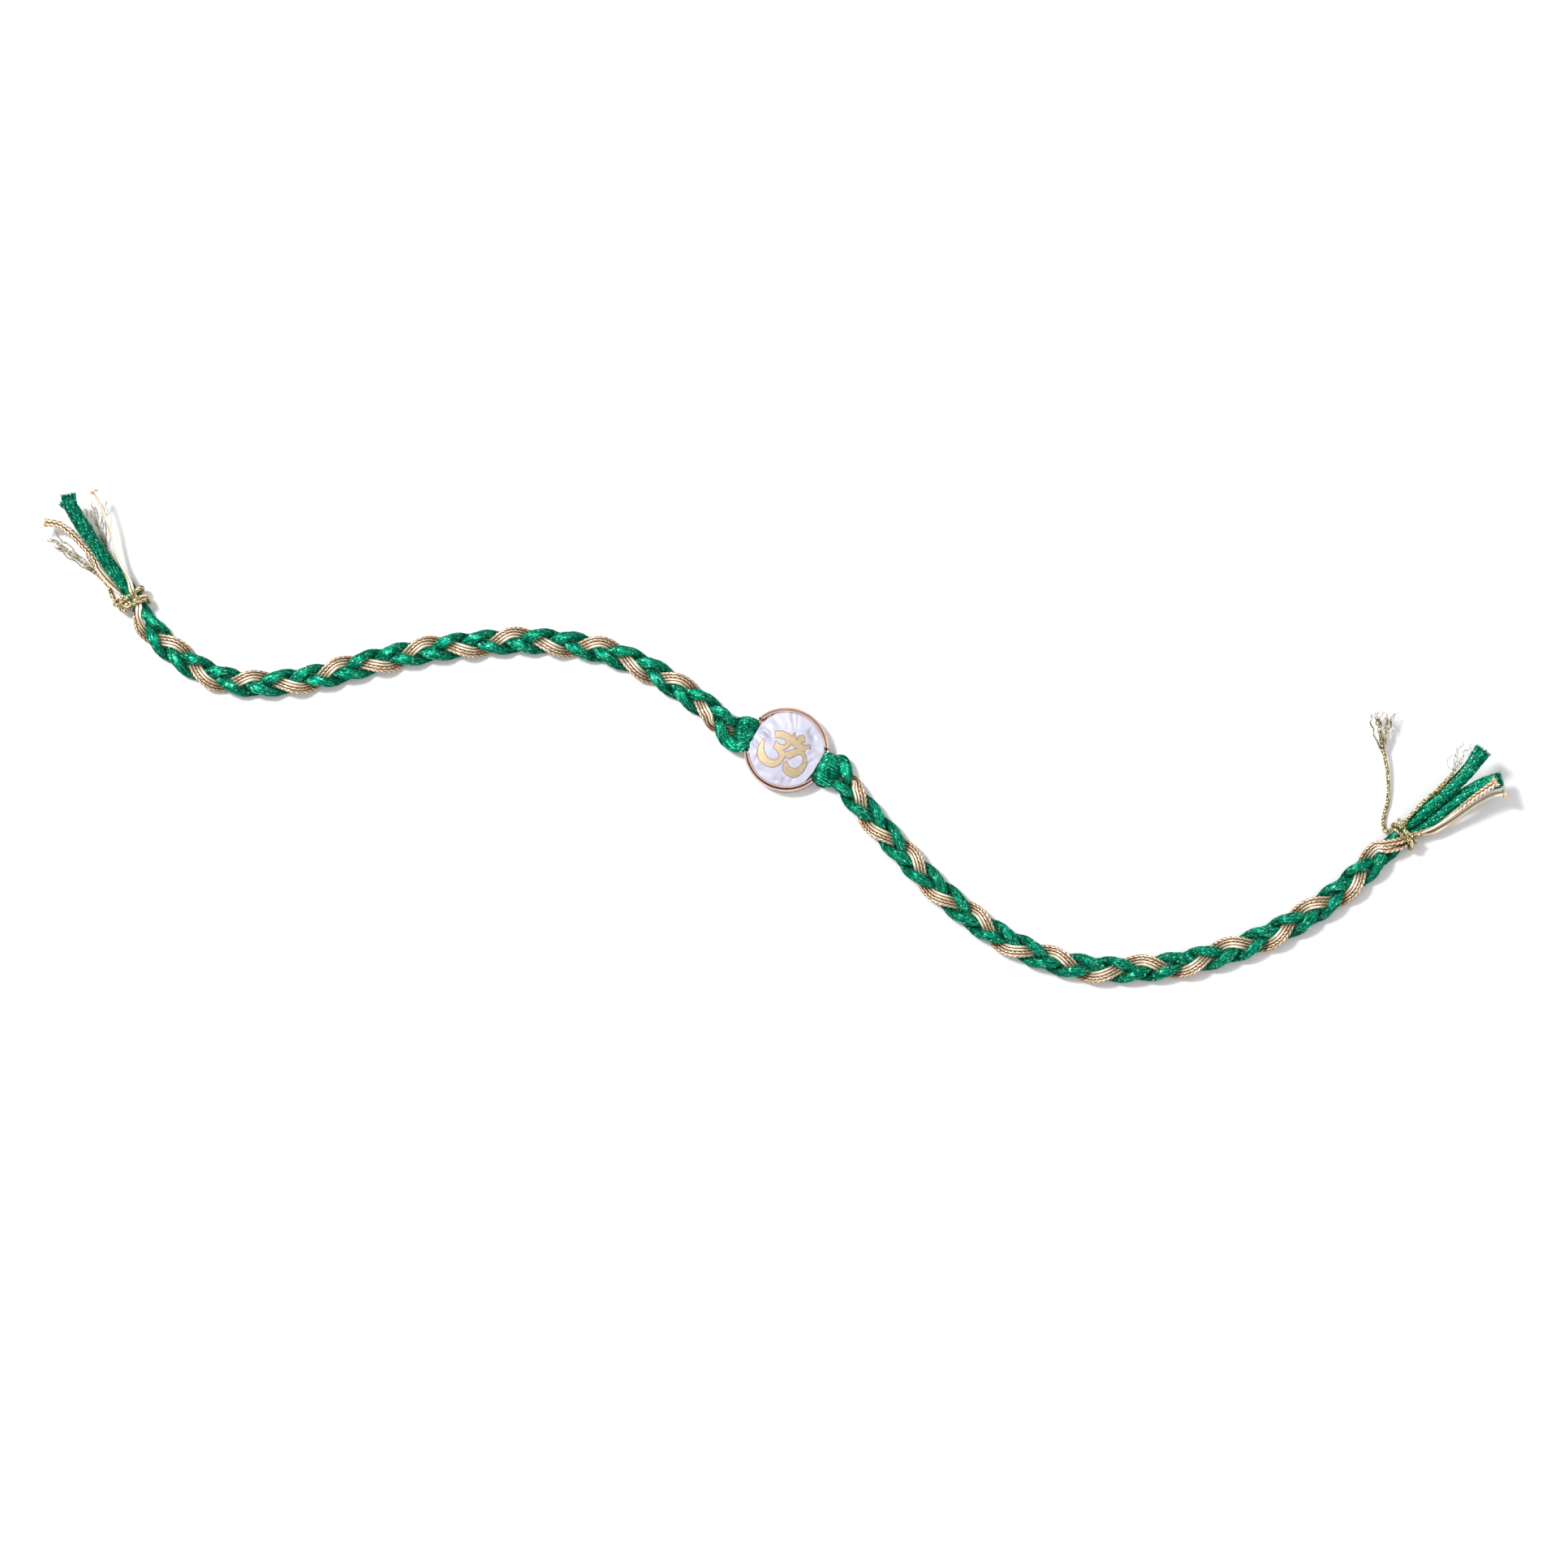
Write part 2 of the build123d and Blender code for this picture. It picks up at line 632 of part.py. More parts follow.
# Setting: back plate and rim, an inner wall at each eye, and a bar left in the rim for the cord to go round
with BuildPart() as bezel:
    with BuildSketch():
        Circle(RIM_RADIUS)
    extrude(amount=BACK_THICK)
    with BuildSketch():
        Circle(RIM_RADIUS)
        Circle(RIM_RADIUS - RIM_WALL, mode=Mode.SUBTRACT)
    extrude(amount=RIM_HEIGHT)
    chamfer(bezel.faces().sort_by(Axis.Z)[-1].edges(), RIM_BEAD)
    for side in SIDES:
        with BuildSketch():
            Circle(RIM_RADIUS - RIM_WALL / 2)
            with Locations(liner_spot(side, -LINER_THICK / 2)):
                Rectangle(LINER_THICK, 2 * RIM_RADIUS, mode=Mode.INTERSECT)
        extrude(amount=LINER_HEIGHT)
        with BuildSketch(Plane.XY.offset(-BACK_THICK)):
            with Locations(liner_spot(side, RIM_RADIUS / 4)):
                Rectangle(RIM_RADIUS / 2, 2 * WINDOW_HALF)
        extrude(amount=BACK_THICK + BAR_LOW, mode=Mode.SUBTRACT)
        with BuildSketch(Plane.XY.offset(BAR_TOP)):
            with Locations(liner_spot(side, RIM_RADIUS / 4)):
                Rectangle(RIM_RADIUS / 2, 2 * NOTCH_HALF)
        extrude(amount=RIM_HEIGHT, mode=Mode.SUBTRACT)
bezel.part.label = "bezel"
export_step(bezel.part, "parts/bezel.step")

# Om: a plate that follows the pearl's dome and stands a little proud of it
with BuildPart() as om_inlay:
    add(om_figure(0))
    extrude(amount=PEARL_TOP)
    revolve(dome_profile(OM_PROUD), axis=Axis.Z, mode=Mode.INTERSECT)
om_inlay.part.label = "om_inlay"
export_step(om_inlay.part, "parts/om_inlay.step")

# Pearl: a low dome with a pocket for the figure. At each eye it is cut back to the inner wall, and its edge
# reaches over that wall as a shelf
with BuildPart() as pearl_disc:
    revolve(dome_profile(0), axis=Axis.Z)
    for side in SIDES:
        with BuildSketch():
            with Locations(liner_spot(side, RIM_RADIUS / 2 - LINER_THICK - PEARL_GAP)):
                Rectangle(RIM_RADIUS, 2 * RIM_RADIUS)
        extrude(amount=LINER_HEIGHT + PEARL_GAP, mode=Mode.SUBTRACT)
        with BuildSketch():
            with Locations(liner_spot(side, RIM_RADIUS / 2 + SHELF_REACH)):
                Rectangle(RIM_RADIUS, 2 * RIM_RADIUS)
        extrude(amount=PEARL_TOP, mode=Mode.SUBTRACT)
    add(om_figure(OM_GAP))
    extrude(amount=PEARL_TOP, mode=Mode.SUBTRACT)
pearl_disc.part.label = "pearl_disc"
export_step(pearl_disc.part, "parts/pearl_disc.step")

for side in SIDES:
    # Satin cord, whose two halves meet under the bar, 120 degrees before and behind the gold in the plait
    cord_a = cord_rows(side, 120, LOOP_TURN, LOOP_LEG, TAILS[side.name, "cord_a"])
    cord_b = cord_rows(side, -120, STRAIGHT_TURN, STRAIGHT_LEG, TAILS[side.name, "cord_b"])
    write_strand(f"green_strand_{side.name}_a", cord_a, cord_outline)
    write_strand(f"green_strand_{side.name}_b", cord_b, cord_outline)
    # Gold band, doubled: its two halves run side by side
    band_a = band_rows(side, 1, TAILS[side.name, "band_a"])
    band_b = band_rows(side, -1, TAILS[side.name, "band_b"])
    write_strand(f"gold_band_{side.name}_a", band_a, band_outline)
    write_strand(f"gold_band_{side.name}_b", band_b, band_outline)
    # Whipping thread with both its free ends
    write_strand(f"tie_{side.name}", whipping_rows(side, WHIPPINGS[side.name]), thread_outline)
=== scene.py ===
"""The looks of a rakhi: satin cords and gold braid plaited on each side of a pearl with an inlaid Om.

Tables are in millimetres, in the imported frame, and the meshes are in metres. Each strand follows the route of
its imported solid, a little fuller where the values below say so. Along a plait, s is the distance from the
setting, and "left" is left of the way outwards.
"""
import math
from collections import namedtuple

import bpy
import numpy as np
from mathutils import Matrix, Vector

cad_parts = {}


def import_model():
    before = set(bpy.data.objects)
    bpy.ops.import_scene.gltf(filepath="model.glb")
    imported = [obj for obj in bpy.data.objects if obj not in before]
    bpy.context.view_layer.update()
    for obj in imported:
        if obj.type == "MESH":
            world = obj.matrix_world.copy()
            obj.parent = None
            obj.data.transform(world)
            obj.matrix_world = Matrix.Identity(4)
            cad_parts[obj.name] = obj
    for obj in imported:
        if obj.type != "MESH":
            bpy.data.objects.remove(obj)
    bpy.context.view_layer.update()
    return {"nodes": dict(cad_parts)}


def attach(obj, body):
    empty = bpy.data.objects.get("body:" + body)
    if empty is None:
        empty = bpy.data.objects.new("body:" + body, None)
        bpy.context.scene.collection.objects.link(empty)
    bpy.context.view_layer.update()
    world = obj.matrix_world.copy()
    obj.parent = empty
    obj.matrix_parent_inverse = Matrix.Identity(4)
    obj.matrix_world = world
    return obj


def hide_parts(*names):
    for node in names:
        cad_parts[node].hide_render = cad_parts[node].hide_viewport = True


MM = 0.001

# Plait: a strand swings aside once in a pitch and rises twice
STRAND_SWING = 1.5
STRAND_RISE = 0.98
PLAIT_MIDDLE = 1.67
PLAIT_STEPS = 12
CORD_WIDE = 1.94
CORD_THICK = 1.28
CORD_NIP = 0.14
CORD_LEAN = 45.0
BAND_WIDE = 1.02
BAND_THICK = 0.56
BAND_APART = 1.04
BAND_LEAN = 10.0
LEG_GAP = 0.6
EYE_LINE = 5.75
# A way less level than this keeps the frame that it was carried with
STEEP_LEVEL = 0.5

# A plait's arcs are equally long. Its edge is where the gold first lies outermost on the left
Side = namedtuple("Side", "name start heading stretch bends edge pitch last eye knot_lean tie tie_heading")
SIDES = {
    "left": Side(
        name="left",
        start=(-10.21, 4.52),
        heading=140.5,
        stretch=14.34,
        bends=(7.0, 20.8, 14.9, 6.8, 7.0, -12.9, -38.1, -24.1),
        edge=2.4,
        pitch=15.5,
        last=110.5,
        eye=155.2,
        knot_lean=0.0,
        tie=(-114.85, 26.65),
        tie_heading=121.9,
    ),
    "right": Side(
        name="right",
        start=(10.22, -6.07),
        heading=-51.4,
        stretch=14.77,
        bends=(2.5, 8.2, 16.6, 23.4, 13.7, 12.6, 14.0, 14.4),
        edge=0.8,
        pitch=15.76,
        last=112.5,
        eye=-24.8,
        knot_lean=-0.27,
        tie=(108.43, -14.93),
        tie_heading=43.0,
    ),
}

# Knot at the setting. Columns: outward from the pendant's middle, left, height, width, thickness
LOOP_TURN = [
    (7.18, -0.22, 0.45, 1.40, 0.66),
    (6.72, -0.20, 0.55, 1.50, 0.64),
    (6.52, -0.17, 1.40, 1.60, 0.66),
    (6.80, 0.05, 2.34, 1.75, 0.90),
    (7.35, 0.40, 2.62, 1.90, 1.10),
    (8.20, 0.85, 2.60, 1.95, 1.15),
    (8.72, 1.12, 2.05, 1.90, 1.00),
    (8.50, 1.30, 1.35, 1.80, 0.82),
    (7.90, 1.38, 0.72, 1.60, 0.74),
    (7.20, 1.45, 0.45, 1.55, 0.70),
    (6.72, 1.50, 0.55, 1.45, 0.56),
    (6.50, 1.50, 1.40, 1.26, 0.52),
    (6.66, 1.62, 2.20, 1.36, 0.62),
    (7.10, 2.20, 2.62, 1.65, 0.95),
    (7.60, 2.85, 2.55, 1.85, 1.15),
    (8.60, 3.12, 2.10, 1.95, 1.20),
]
STRAIGHT_TURN = [
    (7.42, -0.24, 0.46, 1.40, 0.66),
    (7.90, -0.32, 0.72, 1.55, 0.72),
    (8.50, -0.62, 1.35, 1.80, 0.82),
    (8.72, -0.86, 2.05, 1.90, 1.00),
    (8.20, -1.20, 2.60, 1.95, 1.15),
    (7.35, -1.55, 2.62, 1.90, 1.10),
    (6.74, -1.80, 2.34, 1.55, 0.76),
    (6.46, -1.86, 1.40, 1.45, 0.60),
    (6.62, -1.93, 0.55, 1.50, 0.62),
    (7.20, -1.95, 0.42, 1.50, 0.66),
    (8.20, -1.90, 0.40, 1.50, 0.66),
]
# Legs from the knot into the plait. Columns: past the gold's first edge point, left, height, width, thickness
LOOP_LEG = [
    (-4.1, 2.40, 1.80, 1.95, 1.25),
    (-2.6, 1.98, 2.05, 1.85, 1.20),
    (-1.3, 1.00, 2.14, 1.70, 1.00),
    (-0.4, 0.06, 1.38, 1.55, 0.88),
    (0.4, -0.95, 0.70, 1.50, 0.90),
]
STRAIGHT_LEG = [
    (-2.8, -1.35, 1.40, 1.95, 1.15),
    (-1.9, -1.12, 2.05, 1.85, 1.15),
    (-0.8, -1.06, 2.64, 1.66, 1.02),
]
# Gold pair's end in the knot: outward, left, height. Then past its first edge point, left, height, roll
BAND_ROOT = (9.05, 0.72, 0.40)
BAND_LEG = [
    (-3.2, 0.85, 0.42, 0),
    (-2.0, 1.20, 0.46, 0),
    (-1.0, 1.55, 0.62, -20),
    (-0.2, 1.86, 1.08, -45),
    (0.6, 1.76, 1.98, -38),
]
BAND_ROOT_WIDE = 0.80
BAND_ROOT_THICK = 0.50
# Over a knot's top the cord swells and is drawn in along the rim
KNOT_HIGH = 1.9
KNOT_SWELL = {"left": 1.24, "right": 1.32}
KNOT_SQUEEZE = {"left": 1.0, "right": 0.72}
# Its outermost turn reaches further out, and its legs are pulled to the plait's middle
KNOT_REACH = {"left": 0.35, "right": 0.85}
REACH_FROM = 8.0
REACH_HIGH = 1.3
REACH_LEFT = 2.0
LOOP_PULL = {"left": 0.05, "right": 0.30}
LOOP_PULL_END = -2.0
STRAIGHT_PULL = {"left": 0.40, "right": 0.0}
STRAIGHT_PULL_END = -1.5

# Ends at each tie. Columns: along the tie's heading, left, height, width, thickness, and roll of a band
TAILS = {
    ("left", "cord_a"): [
        (-4.4, -0.32, 0.92, 1.75, 1.25),
        (-3.0, -0.62, 1.00, 1.65, 1.20),
        (-1.3, -0.50, 1.34, 1.50, 1.16),
        (0.0, -0.50, 1.34, 1.50, 1.16),
        (1.3, -0.48, 1.36, 1.50, 1.16),
        (3.2, -0.20, 1.72, 1.65, 1.20),
        (7.0, 0.50, 2.35, 1.75, 1.25),
        (12.0, 0.90, 3.20, 1.75, 1.25),
        (17.0, 0.98, 4.15, 1.75, 1.25),
        (19.2, 0.95, 4.45, 1.75, 1.25),
        (21.0, 1.30, 4.80, 1.95, 1.40),
    ],
    ("left", "cord_b"): [
        (-4.4, -0.50, 2.52, 1.75, 1.20),
        (-3.0, 0.00, 2.48, 1.60, 1.15),
        (-1.3, 0.32, 2.46, 1.50, 1.10),
        (0.0, 0.36, 2.48, 1.50, 1.10),
        (1.3, 0.40, 2.52, 1.50, 1.10),
        (3.2, 0.50, 2.98, 1.65, 1.15),
        (7.0, 0.72, 3.62, 1.75, 1.20),
        (12.0, 1.05, 4.48, 1.75, 1.20),
        (17.0, 1.15, 5.42, 1.75, 1.20),
        (19.4, 1.00, 5.90, 1.75, 1.20),
        (21.2, 0.45, 6.34, 2.00, 1.45),
    ],
    ("left", "band_a"): [
        (-4.6, 2.30, 1.35, 0.80, 0.60, 0),
        (-3.0, 1.80, 1.40, 0.80, 0.50, 50),
        (-1.3, 1.30, 1.34, 0.90, 0.40, 88),
        (1.3, 1.30, 1.34, 0.90, 0.40, 88),
        (2.8, 1.60, 1.45, 1.10, 0.42, 60),
        (5.2, 2.20, 1.60, 1.20, 0.50, 10),
        (8.1, 2.60, 1.90, 1.20, 0.50, 0),
        (10.3, 2.30, 2.20, 1.20, 0.50, 0),
        (12.6, 2.70, 2.50, 1.20, 0.50, 0),
        (16.1, 3.50, 3.00, 1.20, 0.50, 0),
        (18.5, 4.50, 3.20, 1.25, 0.50, 0),
        (20.0, 6.30, 3.40, 1.50, 0.55, 0),
    ],
    ("left", "band_b"): [
        (-4.6, 1.32, 1.78, 0.80, 0.60, 0),
        (-3.2, 1.10, 2.98, 0.80, 0.46, 0),
        (-2.2, 0.55, 3.40, 0.88, 0.38, 0),
        (-1.3, -0.02, 3.33, 0.95, 0.38, 0),
        (1.3, -0.30, 3.40, 1.00, 0.38, 0),
        (3.2, -0.85, 3.70, 1.10, 0.40, -50),
        (5.5, -1.00, 3.60, 1.15, 0.45, -80),
        (7.8, -1.25, 3.70, 1.15, 0.45, -85),
        (10.9, -2.10, 4.00, 1.15, 0.45, -85),
        (13.9, -2.90, 4.80, 1.15, 0.45, -85),
        (17.3, -3.60, 5.50, 1.20, 0.45, -85),
        (19.6, -3.80, 6.00, 1.40, 0.50, -70),
    ],
    ("right", "cord_a"): [
        (-3.4, -0.98, 0.98, 1.65, 1.25),
        (-1.3, -0.60, 1.30, 1.50, 1.16),
        (0.0, -0.60, 1.30, 1.50, 1.16),
        (1.3, -0.72, 1.30, 1.50, 1.16),
        (2.8, -1.10, 1.55, 1.75, 1.25),
        (5.3, -1.50, 2.20, 2.00, 1.40),
        (9.5, -1.70, 3.00, 2.00, 1.40),
        (12.6, -2.40, 3.80, 2.00, 1.40),
        (15.6, -3.20, 4.60, 2.00, 1.40),
        (18.2, -4.60, 5.20, 2.30, 1.60),
    ],
    ("right", "cord_b"): [
        (-4.2, 0.85, 1.15, 1.65, 1.20),
        (-3.0, 0.95, 1.15, 1.60, 1.18),
        (-1.3, 0.88, 1.75, 1.50, 1.14),
        (0.0, 0.86, 1.95, 1.50, 1.14),
        (1.3, 0.76, 2.10, 1.50, 1.14),
        (3.0, 0.50, 2.70, 1.75, 1.25),
        (6.4, 0.45, 3.60, 2.00, 1.40),
        (11.1, 0.25, 4.80, 2.00, 1.40),
        (14.9, 0.35, 5.90, 2.00, 1.40),
        (19.2, 1.10, 7.00, 2.40, 1.70),
    ],
    ("right", "band_a"): [
        (-4.2, 1.34, 2.94, 0.80, 0.52, 0),
        (-3.0, 0.50, 2.92, 0.82, 0.55, 0),
        (-1.3, -0.50, 2.70, 0.95, 0.40, 0),
        (0.2, -0.95, 2.62, 0.95, 0.40, -20),
        (1.5, -1.45, 2.62, 1.00, 0.40, -45),
        (2.8, -2.05, 2.65, 1.10, 0.42, -65),
        (5.0, -2.85, 2.90, 1.15, 0.45, -80),
        (8.5, -3.35, 4.00, 1.15, 0.45, -60),
        (12.8, -3.75, 5.60, 1.20, 0.45, -35),
        (16.8, -4.40, 7.00, 1.50, 0.50, -20),
    ],
    ("right", "band_b"): [
        (-4.4, 0.06, 2.98, 0.78, 0.55, 0),
        (-3.2, -0.66, 2.66, 0.82, 0.55, -20),
        (-1.3, -1.68, 1.85, 0.88, 0.36, -84),
        (0.2, -1.62, 1.50, 0.90, 0.38, -88),
        (1.5, -1.72, 1.45, 0.95, 0.40, -86),
        (2.8, -2.45, 1.55, 1.05, 0.42, -55),
        (4.5, -3.30, 1.90, 1.15, 0.42, -35),
        (8.5, -4.10, 2.60, 1.15, 0.42, -30),
        (12.1, -4.60, 3.40, 1.15, 0.42, -30),
        (15.4, -5.50, 4.20, 1.20, 0.42, -40),
        (17.2, -6.70, 4.80, 1.40, 0.45, -50),
    ],
}
# Gold is wider before the tie, and green is fuller past it
TIE_WIDER = {"left": 1.25, "right": 1.5}
TIE_FROM = -1.0
TAIL_SWELL = {"left": 1.34, "right": 1.24}
TAIL_THICKER = 1.08
TAIL_FROM = 2.0
# Past here a gold tail shows its herringbone; smooth is the edge value of gold that shows only its ribs
BRAID_SHOWS_FROM = 9.0
SMOOTH = -0.3

# Whipping turns round the bundle. Middle and half sizes are across and up, first_angle is in degrees up from
# the left. Before and after are the thread's free ends: along the tie's heading, left, height
Whipping = namedtuple("Whipping", "middle half first_angle turns before after")
WHIPPINGS = {
    "left": Whipping(
        middle=(0.14, 2.16),
        half=(1.98, 1.82),
        first_angle=-90.0,
        turns=3.25,
        before=[(10.8, -0.30, 0.60), (8.0, -0.35, 0.45), (5.0, -0.20, 0.36), (2.6, 0.10, 0.30)],
        after=[(-0.4, 2.60, 1.2), (1.0, 3.00, 0.6), (2.6, 3.20, 0.5), (5.3, 2.80, 0.45), (7.7, 3.30, 0.5)],
    ),
    "right": Whipping(
        middle=(-0.10, 1.98),
        half=(2.20, 1.66),
        first_angle=0.0,
        turns=3.15,
        before=[
            (7.6, 13.50, 2.10),
            (7.0, 12.20, 1.80),
            (5.9, 10.40, 1.40),
            (4.2, 8.20, 1.00),
            (2.1, 6.20, 0.70),
            (-0.1, 4.80, 0.50),
            (-1.4, 3.60, 0.45),
            (-1.9, 2.60, 0.90),
        ],
        after=[(2.3, 1.55, 3.60), (5.9, 1.75, 4.50), (9.7, 1.60, 5.60), (12.9, 1.80, 6.50)],
    ),
}
TURN_STEPS = 12
TURN_SQUARE = 3.0
# Where the thread is along the tie at the left of the bundle, at its right, and so on; later turns lie higher
TURN_PLACES = {
    "left": (-0.30, -1.50, 0.10, -0.75, 0.35, 1.30, 0.30),
    "right": (-1.10, -0.30, -0.20, 0.60, 1.05, -0.95, -0.40, 0.90),
}
TURN_LIFT = 0.14
# Knot in the whipping thread: its middle by the tie, as along, left and height; half size; turn in degrees
THREAD_KNOTS = {"left": ((0.7, 2.35, 2.4), 0.44, 20.0), "right": ((0.7, 1.35, 3.2), 0.20, 80.0)}
THREAD_KNOT_POINTS = 25
THREAD_KNOT_RISE = 1.1

# Satin cord's skin: columns of knitted V stitches, each of fine filaments
CORD_STEP = 0.15
CORD_AROUND = 54
STITCH_COLUMNS = 9
STITCH_PITCH = 0.62
STITCH_SLOPE = 0.9
STITCH_HEIGHT = 0.022
COLUMN_GROOVE = 0.045
COLUMN_SHIFT = 0.5
FILAMENT_HEIGHT = 0.024
FILAMENTS = 18
FILAMENT_TWIST = 6.0
FILAMENT_SPREAD = 2.0
TAIL_STITCHES = 0.8
# Painted shade of a stitch's crest, its loop, the groove beside its column, and a tail
CREST_SHADE = 0.72
LOOP_SHADE = 0.28
GROOVE_SHADE = 0.7
TAIL_SHADE = 0.30
# Wander along a strand: size and length of a wave
COLUMN_WANDER = (0.35, 7.0)
COLUMN_JITTER = (0.15, 2.3)
STITCH_WANDER = (0.4, 1.9)
CORD_SWELLS = (0.02, 1.3)
# Heights between which a strand goes from painted shade, where it dives under those over it, to a painted lift
# on top
PAINTED_SHADE_LOW = 1.0
PAINTED_SHADE_HIGH = 2.75

# Gold braid's skin: two round ribs, or slanted yarns over them
BAND_STEP = 0.14
RIB_SIDES = 8
RIB_WAIST = 0.12
YARN_PITCH = 0.86
YARN_SLOPE = 0.85
YARN_HEIGHT = 0.12
YARN_MIDDLE = 0.6
YARN_FAINT = 0.14
YARN_ASIDE = 0.6
# Painted shade between the yarns where the herringbone shows
YARN_SHADE = 0.42
YARN_WANDER = (0.12, 1.1)
BRAID_FLAT = 0.35
BRAID_BLEND = 1.6

# Whipping thread: plies twisted together
THREAD_STEP = 0.10
THREAD_PLIES = 2
PLY_RADIUS = 0.21
PLY_OUT = 0.16
PLY_PITCH = 1.15
PLY_SIDES = 9
PLY_SOFTEN = 3
# Dark, middle and bright colours of the flakes, the bright one painted sparkle
THREAD_COLOURS = [(0.075, 0.048, 0.009), (0.43, 0.32, 0.11), (1.0, 0.91, 0.64)]
LOOSE_COLOURS = [(0.030, 0.022, 0.008), (0.20, 0.16, 0.075), (0.72, 0.64, 0.46)]

CURVE_STEPS = 24
SMOOTH_LENGTH = 0.9
NOISE_CELLS = 4096

# Fibres at a cut end: how many, their length, and how far they splay
CUT_FIBRES = (150, 0.62, 0.22)
BRAID_FIBRES = (60, 0.9, 0.7)
FIBRE_RADIUS = 0.035
FIBRE_SIDES = 4
FIBRE_INSET = 0.93
FIBRE_ROOT = 0.15
FIBRE_STRAY = 0.08
FIBRE_BEND = 0.04
FIBRE_INNER = 0.05
FIBRE_SHORTEST = 0.25

# Frayed ends, by the tie's heading, left and height. The tips of one share a height
Fray = namedtuple("Fray", "root tip_height radius tips_along tips_left")
FRAYS = {
    "left": [
        Fray(
            root=(7.4, 3.25, 0.50),
            tip_height=0.7,
            radius=0.13,
            tips_along=(17.9, 17.8, 16.2, 15.7, 18.4, 17.6, 19.4, 16.9),
            tips_left=(7.6, 7.0, 7.4, 7.1, 5.8, 3.0, 4.0, 6.6),
        ),
        Fray(
            root=(10.5, -0.30, 0.60),
            tip_height=1.6,
            radius=0.12,
            tips_along=(19.4, 18.2, 18.1, 18.0, 18.9, 18.1),
            tips_left=(-2.5, -2.6, -4.0, -4.8, -1.0, -1.5),
        ),
    ],
    "right": [
        Fray(
            root=(7.5, 13.30, 2.05),
            tip_height=2.6,
            radius=0.16,
            tips_along=(10.4, 11.5, 12.3, 12.4, 13.6, 11.0, 12.9, 10.7, 11.8),
            tips_left=(19.3, 18.8, 18.1, 17.4, 16.6, 18.9, 16.2, 18.2, 17.2),
        ),
        Fray(
            root=(7.5, 13.30, 2.05),
            tip_height=2.2,
            radius=0.045,
            tips_along=(13.7, 14.2, 12.0),
            tips_left=(15.7, 16.2, 17.0),
        ),
        Fray(
            root=(12.6, 1.78, 6.45),
            tip_height=7.0,
            radius=0.075,
            tips_along=(18.0, 18.6, 18.9, 16.3, 17.4),
            tips_left=(4.3, 3.4, 2.8, 4.5, 3.3),
        ),
    ],
}
FRAY_SIDES = 5
FRAY_TAPER = 0.75
ROOT_SPREAD = 0.12
TIP_SPREAD = 0.4
# A loose filament's bow, its wave and ripple to each side, and its lift
STRAY_POINTS = 30
STRAY_SIZE = 0.75
STRAY_BOW = 0.8
STRAY_WAVE = 0.35
STRAY_WAVES = 3.1
STRAY_RIPPLE = 0.15
RIPPLES_IN_WAVE = 2.7
STRAY_LIFT = 0.4
# The right thread's curl: its middle by the tie, how far it turns, and its size
CURL_MIDDLE = (14.3, 3.0, 6.6)
CURL_RADIUS = 1.25
CURL_TURNS = 1.1
CURL_POINTS = 40
CURL_THREAD = 0.04
# Single gold threads that lie on a green tail, by the tie's heading, left and height
LYING = {
    "left": [(2.5, 1.4, 3.3), (7.0, 1.72, 3.9), (12.0, 2.05, 4.8), (17.0, 2.10, 5.7), (21.5, 2.30, 6.5)],
    "right": [(7.5, 1.10, 4.6), (11.1, 1.00, 5.5), (14.9, 1.10, 6.6), (17.8, 1.60, 7.5)],
}
LYING_STEP = 0.3
LYING_THREAD = 0.07

# Seeds of the cords, bands and frays on the left, and what is added on the right
SEEDS = [(200, 1000), (50, 10), (7, 1)]
RIM_SEED = 5
LIP_SEED = 6

# Setting. Its rim's section runs from the foot inside to the foot outside. Columns: radius, height from the
# rim's top, how dark the painted shade in the groove beside the bead is
RIM_SECTION = [
    (6.95, -0.52, 0.9),
    (6.66, -0.37, 0.0),
    (6.60, -0.26, 0.0),
    (6.64, -0.15, 0.0),
    (6.75, -0.08, 0.0),
    (6.88, -0.10, 0.2),
    (6.95, -0.24, 0.9),
    (6.99, -0.46, 1.0),
    (7.07, -0.48, 1.0),
    (7.12, -0.26, 0.5),
    (7.18, -0.07, 0.0),
    (7.28, 0.00, 0.0),
    (7.38, -0.04, 0.0),
    (7.45, -0.15, 0.0),
    (7.47, -0.30, 0.0),
    (7.44, -0.50, 0.0),
]
# The painted shade in the groove is darkest at the front, where it faces away from the light
GROOVE_MEAN = 0.60
GROOVE_SWING = 0.40
RIM_TOP = 2.70
RIM_FOOT = (6.95, 7.43)
RIM_AROUND = 720
RIM_UNEVEN = 0.03
RIM_WAVES = 2.5
LIP_OUTER = 6.92
LIP_MARGIN = 3.0
LIP_WAVE = 0.09
LIP_WAVES = 2.1
BAR_TOP = 1.9
BAR_LOW = 1.0
# Half angles of the notch and window at an eye, and of the step beside them, in degrees
NOTCH_TURN = 25.2
WINDOW_TURN = 23.4
STEP_TURN = 1.5
# The inner walls and the pearl's flats are turned this far from the eyes
EYE_SKEW = 6.0
PLATE_RADIUS = 7.35
PLATE_THICK = 0.4
LINER_LINE = 5.718
LINER_THICK = 0.3
LINER_HALF = 4.05
LINER_HEIGHT = 1.75
LINER_SUNK = 0.1

# Pearl: a dome to the lip, then a side that goes down to the floor, cut back over a shelf at each eye
PEARL_RADIUS = 6.82
PEARL_LIP = 6.6
PEARL_EDGE_Z = 2.3
PEARL_TOP = 3.3
PEARL_FLOOR = 0.45
PEARL_FLAT = 5.37
PEARL_SHELF = 6.10
SHELF_HEIGHT = 1.80
PEARL_AROUND = 288
PEARL_OUTWARD = 84
PEARL_DOWN = 10
PEARL_SPACING = 0.9
PEARL_UV_STEP = 0.1
PEARL_UV_AROUND = 40.0
# Stains come in between these places from back to front
STAINS_FROM = -3.5
STAINS_TO = -6.2
# Slivers missing from the pearl's edge. Columns: direction in degrees, distance of the straight edge
PEARL_CUTS = [(126.6, 6.27), (-40.5, 6.22)]
